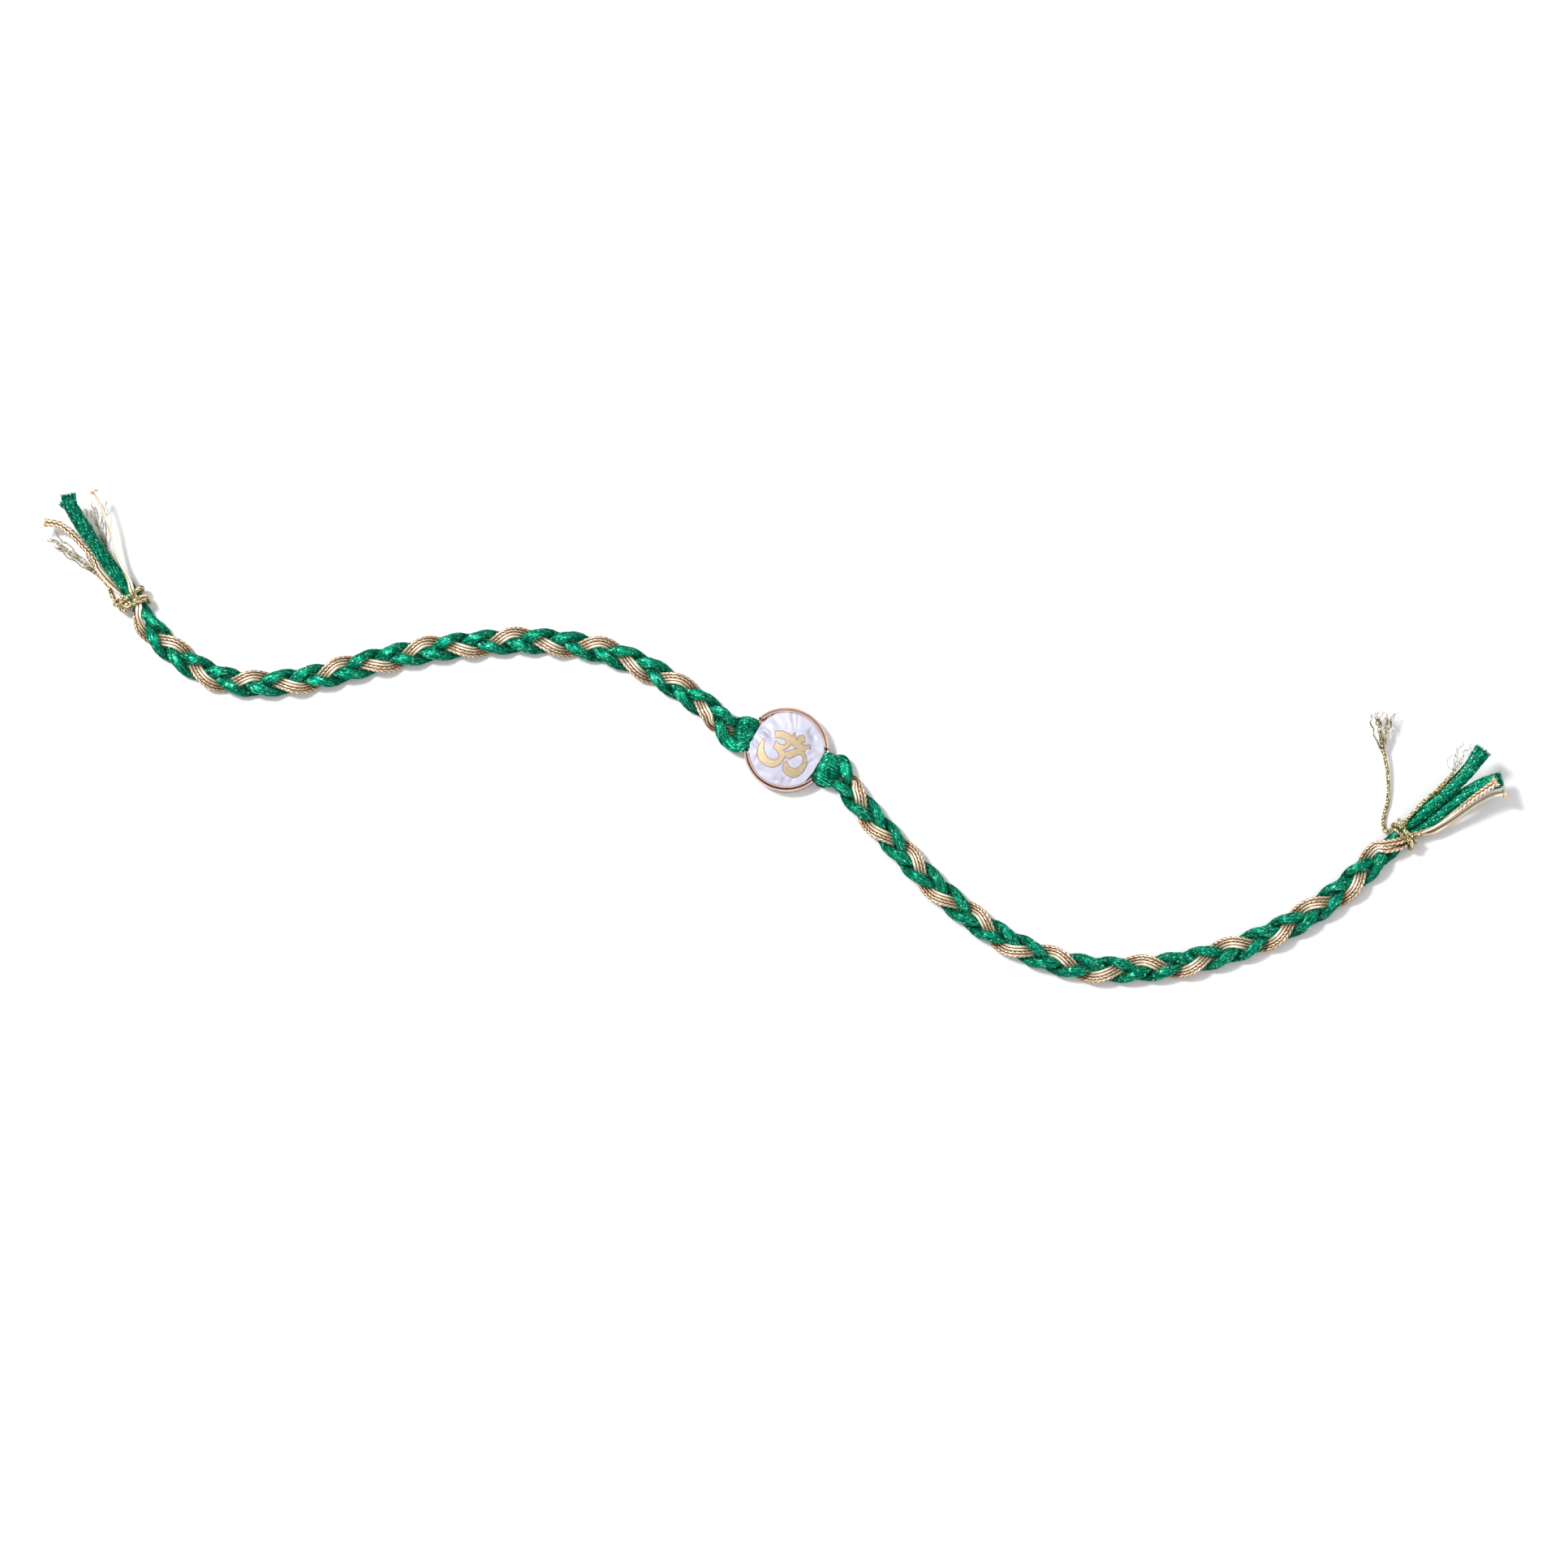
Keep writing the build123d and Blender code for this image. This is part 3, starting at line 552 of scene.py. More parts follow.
# Dents in the pearl, each with a lip along one side. Columns: x, y of the middle, half length, half width,
# turn in degrees, depth
DENT_DEPTH = 1.7
DENT_LIP = 0.5
DENT_LIP_AWAY = 2
PEARL_DENTS = [
    (1.25, 5.3, 1.6, 0.34, 100, 0.13),
    (2.05, 4.9, 1.3, 0.22, 88, 0.09),
    (-1.8, 5.1, 1.0, 0.45, 130, 0.12),
    (-3.4, 3.0, 1.2, 0.48, 135, 0.17),
    (-4.5, 3.3, 0.7, 0.35, 20, 0.14),
    (-5.5, 1.1, 0.9, 0.42, 120, 0.15),
    (-5.0, -1.4, 1.0, 0.40, 60, 0.09),
    (4.75, 2.2, 1.0, 0.52, 108, 0.19),
    (4.2, 3.1, 0.7, 0.32, 60, 0.10),
    (4.95, 0.25, 1.25, 0.46, 168, 0.20),
    (4.4, -0.9, 0.8, 0.35, 30, 0.08),
    (4.1, -2.5, 1.0, 0.32, 35, 0.10),
    (3.05, -3.8, 0.5, 0.20, 85, 0.11),
    (-3.6, -4.2, 1.0, 0.40, 150, 0.09),
    (-1.9, -5.5, 0.6, 0.40, 10, 0.10),
    (-0.5, -5.7, 0.5, 0.35, 90, 0.08),
    (1.2, -5.3, 0.7, 0.32, 60, 0.07),
    (0.3, 4.0, 0.6, 0.30, 60, 0.07),
]
# A straight edge is reckoned only this near to the way that it faces, as a cosine
EDGE_FACING = 0.5

# Band of painted shade in the gap round the inlay
GAP_SHADE_WIDE = 0.10
GAP_SHADE_LIFT = 0.02
OUTLINE_DIGITS = 7
TOP_FACING = 0.5
TINY = 1e-9

# Camera and light; the room's colours run from the horizon up
CAMERA_TARGET = (-0.400, -5.815, 0.0)
CAMERA_DISTANCE = 1000.0
CAMERA_ELEVATION = 82.0
CAMERA_FIELD = 276.0
CAMERA_SENSOR = 36.0
CAMERA_CLIP = (0.05, 20)
KEY_TOWARDS = (-0.469, 0.276, 0.839)
KEY_DISTANCE = 1.2
KEY_SIZE = 0.20
KEY_POWER = 10.5
FLOOR_HALF = 1.5
FILL_STRENGTH = 0.82
ROOM = [
    (0.00, (0.50, 0.50, 0.52)),
    (0.10, (0.10, 0.10, 0.103)),
    (0.30, (0.12, 0.12, 0.1236)),
    (0.45, (0.75, 0.75, 0.7725)),
    (0.60, (1.06, 1.06, 1.06)),
]

# Columns of a row of a route
POINT = slice(0, 3)
WIDE, THICK, ROLL, OUTER, TAIL = range(3, 8)


def middle_line(side, s):
    """Point and heading in radians on a plait's middle line; past its arcs the line runs straight on."""
    x, y = side.start
    heading = math.radians(side.heading)
    left = s
    for turn in side.bends:
        bend = math.radians(turn) / side.stretch
        run = min(left, side.stretch)
        x += (math.sin(heading + bend * run) - math.sin(heading)) / bend
        y += (math.cos(heading) - math.cos(heading + bend * run)) / bend
        heading += bend * run
        left -= run
        if left <= 0:
            break
    return x + left * math.cos(heading), y + left * math.sin(heading), heading


def turned(x, y, angle):
    """Coordinates turned by an angle in radians."""
    return x * np.cos(angle) - y * np.sin(angle), x * np.sin(angle) + y * np.cos(angle)


def from_heading(x, y, heading, along, left, height):
    """Point so far along a heading, to its left and up."""
    ahead, aside = turned(along, left, heading)
    return np.array([x + ahead, y + aside, height])


def from_pendant(side, outward, left, height):
    return from_heading(0, 0, math.radians(side.eye), outward, left, height)


def from_plait(side, s, left, height):
    return from_heading(*middle_line(side, s), 0, left, height)


def from_tie(side, along, left, height):
    return from_heading(*side.tie, math.radians(side.tie_heading), along, left, height)


def plait_point(side, s, phase):
    """Middle of a strand in the plait, and its angle: it swings side to side once a pitch and rises twice."""
    angle = math.tau * (s - side.edge) / side.pitch + math.radians(phase)
    left = STRAND_SWING * math.cos(angle)
    height = PLAIT_MIDDLE + STRAND_RISE * math.sin(2 * angle)
    return from_plait(side, s, left, height), angle


def phase_stops(side, phase, first):
    """Distances, from the first to the plait's last, where a strand's phase is a whole step of the pitch."""
    step = side.pitch / PLAIT_STEPS
    origin = side.edge - phase / 360 * side.pitch
    numbers = range(math.ceil((first - origin) / step), math.floor((side.last - origin) / step) + 1)
    return [origin + number * step for number in numbers]


def row(point, wide=1, thick=1, roll=0, outer=0.0, tail=0.0):
    """One row of a route: place, section, and how far it is the plait's outer edge or a free tail."""
    return np.array([*point, wide, thick, roll, outer, tail])


def tie_route(side, spots):
    """Rows of a thread through places at a side's tie."""
    return np.array([row(from_tie(side, *spot)) for spot in spots])


def cord_rows(side, phase, turn, leg, tail):
    """A satin cord's rows from the knot through the plait to its cut end."""
    rows = []
    for out, left, z, wide, thick in turn:
        lean = side.knot_lean * (out - EYE_LINE)
        if out > REACH_FROM and z > REACH_HIGH and left < REACH_LEFT:
            out += KNOT_REACH[side.name]
        if z > KNOT_HIGH:
            wide *= KNOT_SWELL[side.name]
            thick *= KNOT_SWELL[side.name]
            left *= KNOT_SQUEEZE[side.name] if left > 0 else 1
        rows.append(row(from_pendant(side, out, left + lean, z), wide, thick))
    for ahead, left, z, wide, thick in leg:
        if leg is LOOP_LEG and ahead < LOOP_PULL_END:
            wide *= KNOT_SWELL[side.name]
            left -= LOOP_PULL[side.name]
        if leg is STRAIGHT_LEG and ahead < STRAIGHT_PULL_END:
            left += STRAIGHT_PULL[side.name]
        rows.append(row(from_plait(side, side.edge + ahead, left, z), wide, thick))
    for s in phase_stops(side, phase, side.edge + leg[-1][0] + LEG_GAP):
        point, angle = plait_point(side, s, phase)
        wide = CORD_WIDE * (1 - CORD_NIP * math.cos(2 * angle))
        rows.append(row(point, wide, CORD_THICK, -CORD_LEAN * math.sin(3 * angle)))
    for along, left, z, wide, thick in tail:
        loose = along > TAIL_FROM
        if loose:
            wide *= TAIL_SWELL[side.name]
            thick *= TAIL_THICKER
        rows.append(row(from_tie(side, along, left, z), wide, thick, tail=loose))
    return np.array(rows)


def band_rows(side, which, tail):
    """One of the two gold bands, which lie side by side in the plait."""
    rows = [row(from_pendant(side, *BAND_ROOT), BAND_ROOT_WIDE, BAND_ROOT_THICK, 0, which)]
    for ahead, left, z, roll in BAND_LEG:
        point = from_plait(side, side.edge + ahead, left, z)
        rows.append(row(point, BAND_ROOT_WIDE, BAND_ROOT_THICK, roll, which))
    for s in phase_stops(side, 0, side.edge + BAND_LEG[-1][0] + LEG_GAP):
        point, angle = plait_point(side, s, 0)
        lean = -BAND_LEAN * math.sin(3 * angle)
        rows.append(row(point, BAND_WIDE, BAND_THICK, lean, which * math.cos(angle)))
    rows = np.array(rows)
    across, up = frames(rows[:, POINT])
    roll = np.radians(rows[:, ROLL])[:, None]
    rows[:, POINT] += (across * np.cos(roll) + up * np.sin(roll)) * which * BAND_APART / 2
    ends = []
    for along, left, z, wide, thick, roll in tail:
        loose = along > TAIL_FROM
        if along < TIE_FROM:
            wide *= TIE_WIDER[side.name]
        if loose:
            braided = which > 0 and along > BRAID_SHOWS_FROM
        else:
            braided = which > 0 or side.name == "right"
        outer = 1 if braided else SMOOTH
        ends.append(row(from_tie(side, along, left, z), wide, thick, roll, outer, loose))
    return np.vstack([rows, *ends])


def squared(wave):
    """A cosine or sine pressed outwards, which makes a round turn of thread squarer."""
    return math.copysign(abs(wave) ** (2 / TURN_SQUARE), wave)


def whipping_rows(side):
    """The thread: one free end, its turns round the bundle, and the other free end."""
    whipping = WHIPPINGS[side.name]
    places = TURN_PLACES[side.name]
    spots = list(whipping.before)
    count = round(whipping.turns * TURN_STEPS)
    middle_left, middle_up = whipping.middle
    half_wide, half_high = whipping.half
    for number in range(count + 1):
        turned = whipping.turns * number / count
        angle = math.radians(whipping.first_angle + 360 * turned)
        along = np.interp(angle / math.pi, np.arange(len(places)), places)
        lift = TURN_LIFT * turned
        left = middle_left + (half_wide + lift) * squared(math.cos(angle))
        high = half_high + lift if math.sin(angle) > 0 else half_high
        spots.append((along, left, middle_up + high * squared(math.sin(angle))))
    return tie_route(side, spots + whipping.after)


def thread_knot(side):
    """The small overhand knot in the whipping thread, as a closed run of rows."""
    middle, size, turn = THREAD_KNOTS[side.name]
    t = np.linspace(0, math.tau, THREAD_KNOT_POINTS)
    x, y = turned(np.sin(t) + 2 * np.sin(2 * t), np.cos(t) - 2 * np.cos(2 * t), math.radians(turn))
    spots = np.column_stack([x, y, -THREAD_KNOT_RISE * np.sin(3 * t)])
    return tie_route(side, np.array(middle) + size * spots)


def run_along(points):
    """Distance run at each point of a path."""
    return np.concatenate([[0], np.cumsum(np.linalg.norm(np.diff(points, axis=0), axis=1))])


def resampled(rows, step):
    """Rows at equal steps on a Catmull-Rom curve through the given ones."""
    t = np.linspace(0, 1, CURVE_STEPS, endpoint=False)[:, None]
    held = np.vstack([rows[:1], rows, rows[-1:]])
    dense = []
    for before, start, end, after in zip(held, held[1:], held[2:], held[3:]):
        curve = (
            before * (-t + 2 * t**2 - t**3)
            + start * (2 - 5 * t**2 + 3 * t**3)
            + end * (t + 4 * t**2 - 3 * t**3)
            + after * (-(t**2) + t**3)
        ) * 0.5
        curve[:, WIDE:] = start[WIDE:] + (end[WIDE:] - start[WIDE:]) * t
        dense.append(curve)
    dense = np.vstack([*dense, rows[-1:]])
    run = run_along(dense[:, POINT])
    stops = np.linspace(0, run[-1], max(2, round(run[-1] / step)) + 1)
    return np.column_stack([np.interp(stops, run, column) for column in dense.T]), stops


def unit(vectors):
    return vectors / np.linalg.norm(vectors, axis=1)[:, None]


def softened(vectors, steps):
    """Running mean of vectors over so many steps to each side."""
    padded = np.vstack([np.repeat(vectors[:1], steps, 0), vectors, np.repeat(vectors[-1:], steps, 0)])
    kernel = np.hanning(2 * steps + 1)
    kernel /= kernel.sum()
    return np.column_stack([np.convolve(column, kernel, "valid") for column in padded.T])


def frames(points, step=None):
    """Side and up at each point, the side level where the way isn't steep. A step asks for smooth ones."""
    way = unit(np.gradient(points, axis=0))
    across = np.zeros_like(way)
    side = None
    for number, ahead in enumerate(way):
        level = np.array([-ahead[1], ahead[0], 0])
        if side is None:
            side = level
        carried = side - ahead * side.dot(ahead)
        if np.linalg.norm(level) > STEEP_LEVEL:
            side = level if level.dot(carried) > 0 else -level
        else:
            side = carried
        side = side / np.linalg.norm(side)
        across[number] = side
    if step:
        across = softened(across, round(SMOOTH_LENGTH / step))
        across = unit(across - way * (across * way).sum(1)[:, None])
    return across, np.cross(way, across)


def value_noise(x, seed):
    """Smooth noise from -1 to 1 along x, one random value at each whole number."""
    values = np.random.default_rng(seed).uniform(-1, 1, NOISE_CELLS)
    cell = np.floor(x).astype(int)
    part = x - cell
    part = part * part * (3 - 2 * part)
    return values[cell % NOISE_CELLS] * (1 - part) + values[(cell + 1) % NOISE_CELLS] * part


def wander(distance, wave, seed):
    """Noise along a strand, as a column, from the size and length of its waves."""
    size, length = wave
    return size * value_noise(distance / length, seed)[:, None]


def circle(count):
    """Angles of so many equal steps round a circle."""
    return math.tau * np.arange(count) / count


def mesh_piece(name, points, faces, uv=None, smooth=True, **attributes):
    """An object from points in metres and faces, one array for each number of corners."""
    mesh = bpy.data.meshes.new(name)
    mesh.from_pydata(points, [], [corners for part in faces for corners in part.tolist()])
    if uv is not None:
        layer = mesh.uv_layers.new(name="UVMap")
        layer.data.foreach_set("uv", uv.astype(np.float32).ravel())
    for key, values in attributes.items():
        attribute = mesh.attributes.new(key, "FLOAT", "POINT")
        attribute.data.foreach_set("value", values.astype(np.float32).ravel())
    mesh.validate()
    mesh.polygons.foreach_set("use_smooth", np.full(len(mesh.polygons), smooth))
    piece = bpy.data.objects.new(name, mesh)
    bpy.context.scene.collection.objects.link(piece)
    return piece


def ring_quads(near, far, sides):
    """Quads between rings, from the number of the first corner of each ring and of the next one."""
    column = np.arange(sides)
    following = (column + 1) % sides
    near, far = near[:, None], far[:, None]
    return np.stack([near + column, near + following, far + following, far + column], -1).reshape(-1, 4)


def tube(distance, sides, around, first=0):
    """Quads of a tube with a ring at each distance, and their UV map in millimetres."""
    near = first + np.arange(len(distance) - 1) * sides
    column = np.arange(sides)
    u, v = np.meshgrid(column / sides * around, distance[:-1])
    u_next, v_next = np.meshgrid((column + 1) / sides * around, distance[1:])
    uv = [np.stack(pair, -1) for pair in ((u, v), (u_next, v), (u_next, v_next), (u, v_next))]
    return ring_quads(near, near + sides, sides), np.stack(uv, 2).reshape(-1, 2)


def skin(name, rings, distance, around, **shades):
    """A closed skin over rings of points, with a fan of faces at each end."""
    sides = rings.shape[1]
    quads, uv = tube(distance, sides, around)
    column = np.arange(sides)
    following = (column + 1) % sides
    points = rings.reshape(-1, 3)
    ends = len(points)
    last = ends - sides
    first_fan = np.stack([following, column, np.full(sides, ends)], -1)
    last_fan = np.stack([last + column, last + following, np.full(sides, ends + 1)], -1)
    fan_uv = np.zeros((2, sides * 3, 2))
    fan_uv[..., 1] = distance[[0, -1], None]
    points = np.vstack([points, rings[0].mean(0), rings[-1].mean(0)]) * MM
    faces = [quads, np.vstack([first_fan, last_fan])]
    shades = {key: np.append(values, [values[0, 0], values[-1, -1]]) for key, values in shades.items()}
    return mesh_piece(name, points, faces, np.vstack([uv, fan_uv.reshape(-1, 2)]), **shades)


def bundle(name, paths, radii, sides):
    """Fine round tubes along paths, closed at their ends, as one mesh."""
    theta = circle(sides)[None, :, None]
    points, quads, caps, uv = [], [], [], []
    first = 0
    for path, radius in zip(paths, radii):
        across, up = frames(path)
        radius = np.broadcast_to(radius, len(path))[:, None, None]
        ring = across[:, None] * np.cos(theta) + up[:, None] * np.sin(theta)
        points.append((path[:, None] + radius * ring).reshape(-1, 3))
        tube_quads, tube_uv = tube(run_along(path), sides, math.tau * radius.mean(), first)
        quads.append(tube_quads)
        uv.append(tube_uv)
        column = first + np.arange(sides)
        caps += [column[::-1], column + (len(path) - 1) * sides]
        first += len(path) * sides
    uv.append(np.zeros((len(caps) * sides, 2)))
    faces = [np.vstack(quads), np.array(caps)]
    whole = np.ones(first)
    return mesh_piece(name, np.vstack(points) * MM, faces, np.vstack(uv), crest=whole, herringbone=whole)


def ring_points(rows, across, up, x, y):
    """Rings from section coordinates: x and y have a row for each ring and a column for each corner."""
    return rows[:, None, POINT] + across[:, None] * x[..., None] + up[:, None] * y[..., None]


def satin_cord(name, rows, seed):
    """A satin cord: an oval that leans as the plait presses it, under columns of V stitches."""
    rows, distance = resampled(rows, CORD_STEP)
    across, up = frames(rows[:, POINT], CORD_STEP)
    theta = circle(CORD_AROUND)
    leaned = theta - np.radians(rows[:, ROLL])[:, None]
    half_wide, half_thick = rows[:, WIDE][:, None] / 2, rows[:, THICK][:, None] / 2
    oval = 1 / np.hypot(np.cos(leaned) / half_wide, np.sin(leaned) / half_thick)
    turn = wander(distance, COLUMN_WANDER, seed) + wander(distance, COLUMN_JITTER, seed + 1)
    place = (theta / math.tau + turn) * STITCH_COLUMNS
    column = np.floor(place)
    offset = 2 * (place - column) - 1
    shift = value_noise(column + 0.5, seed + 2) * COLUMN_SHIFT
    stitch = distance[:, None] / STITCH_PITCH - STITCH_SLOPE * np.abs(offset) + shift
    stitch += wander(distance, STITCH_WANDER, seed + 3)
    loop = np.cos(math.tau * stitch) * (1 - offset**2)
    filament = np.cos(theta * FILAMENTS + FILAMENT_TWIST * turn + FILAMENT_SPREAD * offset)
    tail = rows[:, TAIL][:, None]
    relief = (STITCH_HEIGHT * loop - COLUMN_GROOVE * offset**4) * (1 + TAIL_STITCHES * tail)
    relief += FILAMENT_HEIGHT * filament * (1 + tail)
    radius = oval * (1 + wander(distance, CORD_SWELLS, seed + 4)) + relief
    rings = ring_points(rows, across, up, radius * np.cos(theta), radius * np.sin(theta))
    around = math.pi * (CORD_WIDE + CORD_THICK) / 2
    # Painted shade: the stitches' crests lighter, the grooves between columns and the tails darker
    crest = CREST_SHADE + LOOP_SHADE * loop - GROOVE_SHADE * offset**4 - TAIL_SHADE * tail
    return skin(name, rings, distance, around, crest=crest), rows, across, up


def gold_band(name, rows, which, seed):
    """A narrow flat braid: two round ribs where its edge is seen, slanted yarns where its face is, with painted
    shade in its grooves.
    """
    rows, distance = resampled(rows, BAND_STEP)
    across, up = frames(rows[:, POINT], BAND_STEP)
    phi = math.pi * (np.arange(RIB_SIDES) + 0.5) / RIB_SIDES
    half_rib = 0.5 + 0.5 * np.cos(phi)
    over = np.concatenate([half_rib, -half_rib[::-1]])
    height = np.concatenate([np.sin(phi), np.sin(phi)[::-1]])
    height = np.where(np.abs(over) < 0.5, np.maximum(height, RIB_WAIST), height)
    place = np.concatenate([over, over[::-1]])
    rib = np.concatenate([height, -height[::-1]])
    facing = np.sign(rib)
    flat = facing * (1 - np.abs(place) ** 4) ** 0.25
    outer_edge = (place * which > 0) | (rows[:, TAIL][:, None] > 0)
    # Painted shade in the grooves of the ribs, and between the yarns where the herringbone shows
    groove = np.where(outer_edge, np.maximum(np.abs(rib), np.abs(place)), np.abs(rib))
    herringbone = np.clip(0.5 + BRAID_BLEND * rows[:, OUTER], 0, 1)[:, None]
    stitch = distance[:, None] / YARN_PITCH + YARN_SLOPE * np.abs(place) + 0.5 * (place > 0)
    yarn = np.abs(np.cos(math.pi * (stitch + wander(distance, YARN_WANDER, seed))))
    relief = YARN_HEIGHT * (yarn - YARN_MIDDLE) * (YARN_FAINT + (1 - YARN_FAINT) * herringbone)
    x = (rows[:, WIDE][:, None] / 2 + relief * YARN_ASIDE) * place
    y = rows[:, THICK][:, None] / 2 * (rib + (flat - rib) * herringbone * BRAID_FLAT) + relief * facing
    rings = ring_points(rows, across, up, *turned(x, y, np.radians(rows[:, ROLL])[:, None]))
    crest = groove * (1 - YARN_SHADE * herringbone * (1 - yarn))
    herringbone = np.broadcast_to(herringbone, crest.shape)
    around = 2 * (BAND_WIDE + BAND_THICK)
    piece = skin(name, rings, distance, around, herringbone=herringbone, crest=crest)
    return piece, rows, across, up


def plies(rows):
    """Paths of the plies twisted round each other along a route."""
    rows, distance = resampled(rows, THREAD_STEP)
    points = softened(rows[:, POINT], PLY_SOFTEN)
    across, up = frames(points, THREAD_STEP)
    paths = []
    for ply in range(THREAD_PLIES):
        angle = math.tau * (distance / PLY_PITCH + ply / THREAD_PLIES)[:, None]
        paths.append(points + PLY_OUT * (across * np.cos(angle) + up * np.sin(angle)))
    return paths


def stray(root, tip, rng):
    """A loose filament's path from root to tip, which bows and waves a little."""
    share = np.linspace(0, 1, STRAY_POINTS)[:, None]
    bow, ripple, phase, lift = rng.uniform(-1, 1, 4)
    ahead = tip - root
    aside = np.array([-ahead[1], ahead[0], 0]) / np.linalg.norm(ahead[:2])
    wave = np.sin(math.tau * (STRAY_WAVES * share + phase)) - math.sin(math.tau * phase)
    swing = STRAY_BOW * bow * np.sin(math.pi * share) + STRAY_WAVE * wave * share
    swing += STRAY_RIPPLE * ripple * np.sin(math.tau * RIPPLES_IN_WAVE * STRAY_WAVES * share) * share
    path = root + ahead * share + aside * STRAY_SIZE * swing
    path[:, 2] += STRAY_LIFT * STRAY_SIZE * lift * np.sin(math.pi * share[:, 0])
    return path


def fuzz(name, rows, across, up, fibres, seed):
    """Short fibres that stand out of a cut end."""
    count, length, spread = fibres
    rng = np.random.default_rng(seed)
    end = rows[-1]
    way = unit(rows[-1:, POINT] - rows[-4:-3, POINT])[0]
    paths = []
    for _ in range(count):
        angle, out = rng.uniform(0, math.tau), math.sqrt(rng.uniform(FIBRE_INNER, 1))
        section = across[-1] * math.cos(angle) * end[WIDE] / 2 + up[-1] * math.sin(angle) * end[THICK] / 2
        reach = length * rng.uniform(FIBRE_SHORTEST, 1)
        root = end[POINT] + section * out * FIBRE_INSET - way * FIBRE_ROOT
        tip = end[POINT] + section * out * (1 + spread * reach) + way * reach
        tip += rng.normal(0, FIBRE_STRAY, 3)
        middle = (root + tip) / 2 + rng.normal(0, FIBRE_BEND, 3)
        paths.append(np.array([root, middle, tip]))
    return bundle(name, paths, [FIBRE_RADIUS] * count, FIBRE_SIDES)


def frays(name, side, seed):
    """The filaments of each frayed end, the thread that lies on a green tail, and the right side's curl."""
    rng = np.random.default_rng(seed)
    paths, radii = [], []
    for fray in FRAYS[side.name]:
        for along, left in zip(fray.tips_along, fray.tips_left):
            root = np.array(fray.root) + rng.normal(0, ROOT_SPREAD, 3)
            tip_height = fray.tip_height + rng.uniform(-TIP_SPREAD, TIP_SPREAD)
            path = stray(from_tie(side, *root), from_tie(side, along, left, tip_height), rng)
            path[:, 2] = np.maximum(path[:, 2], fray.radius)
            paths.append(path)
            radii.append(fray.radius * np.linspace(1, FRAY_TAPER, STRAY_POINTS))
    lying, _ = resampled(tie_route(side, LYING[side.name]), LYING_STEP)
    paths.append(lying[:, POINT])
    radii.append(LYING_THREAD)
    if side.name == "right":
        along, left, height = CURL_MIDDLE
        angles = np.linspace(0, CURL_TURNS * math.tau, CURL_POINTS)
        curl = [(along + CURL_RADIUS * np.cos(a), left + CURL_RADIUS * np.sin(a), height) for a in angles]
        paths.append(tie_route(side, curl)[:, POINT])
        radii.append(CURL_THREAD)
    return bundle(name, paths, radii, FRAY_SIDES)


def polar(radius, theta, z):
    """Points from a radius, an angle and a height."""
    return np.stack([radius * np.cos(theta), radius * np.sin(theta), z], -1)


def cut_back(reach, theta, direction, distance):
    """An outline's reach, cut back by a straight edge at a distance in a direction in degrees."""
    towards = np.cos(theta - math.radians(direction))
    return np.minimum(reach, distance / np.maximum(towards, EDGE_FACING))


def degrees_away(theta, side):
    """Degrees between angles and a side's eye."""
    return np.degrees(np.abs(np.angle(np.exp(1j * (theta - math.radians(side.eye))))))


def eye_share(theta, turn):
    """1 within so many degrees of either eye, 0 elsewhere, with a steep step between."""
    return sum(np.clip((turn - degrees_away(theta, side)) / STEP_TURN + 0.5, 0, 1) for side in SIDES.values())


def pearl_piece():
    """The pearl's skin: a low dome with the nacre's dents, cut back at each eye."""
    theta = circle(PEARL_AROUND)
    reach = np.full(PEARL_AROUND, PEARL_RADIUS)
    foot = reach
    for side in SIDES.values():
        reach = cut_back(reach, theta, side.eye - EYE_SKEW, PEARL_SHELF)
        foot = cut_back(foot, theta, side.eye - EYE_SKEW, PEARL_FLAT)
    for direction, distance in PEARL_CUTS:
        reach = cut_back(reach, theta, direction, distance)
    share = np.linspace(0, 1, PEARL_OUTWARD + 1)[1:] ** PEARL_SPACING
    radius = share[:, None] * np.minimum(reach, PEARL_LIP)
    dome = PEARL_EDGE_Z + (PEARL_TOP - PEARL_EDGE_Z) * (1 - (radius / PEARL_LIP) ** 2)
    x = radius * np.cos(theta)
    y = radius * np.sin(theta)
    for middle_x, middle_y, length, width, turn, depth in PEARL_DENTS:
        along, aside = turned(x - middle_x, y - middle_y, -math.radians(turn))
        along, aside = along / length, aside / width
        dome -= DENT_DEPTH * depth * np.exp(-(along**2) - aside**2)
        dome += DENT_DEPTH * DENT_LIP * depth * np.exp(-(along**2) - (aside - DENT_LIP_AWAY) ** 2)
    rings = [polar(radius, theta, dome)]
    edge = dome[-1]
    for drop in np.linspace(0, math.pi, PEARL_DOWN)[1:]:
        z = edge + (PEARL_FLOOR - edge) * (1 - math.cos(drop)) / 2
        bulge = np.minimum(reach, PEARL_LIP + (PEARL_RADIUS - PEARL_LIP) * math.sin(drop))
        bulge = np.where(z < SHELF_HEIGHT, np.minimum(bulge, foot), bulge)
        rings.append(polar(bulge, theta, z)[None])
    rings = np.concatenate(rings)
    return skin("pearl_skin", rings, np.arange(len(rings)) * PEARL_UV_STEP, PEARL_UV_AROUND)


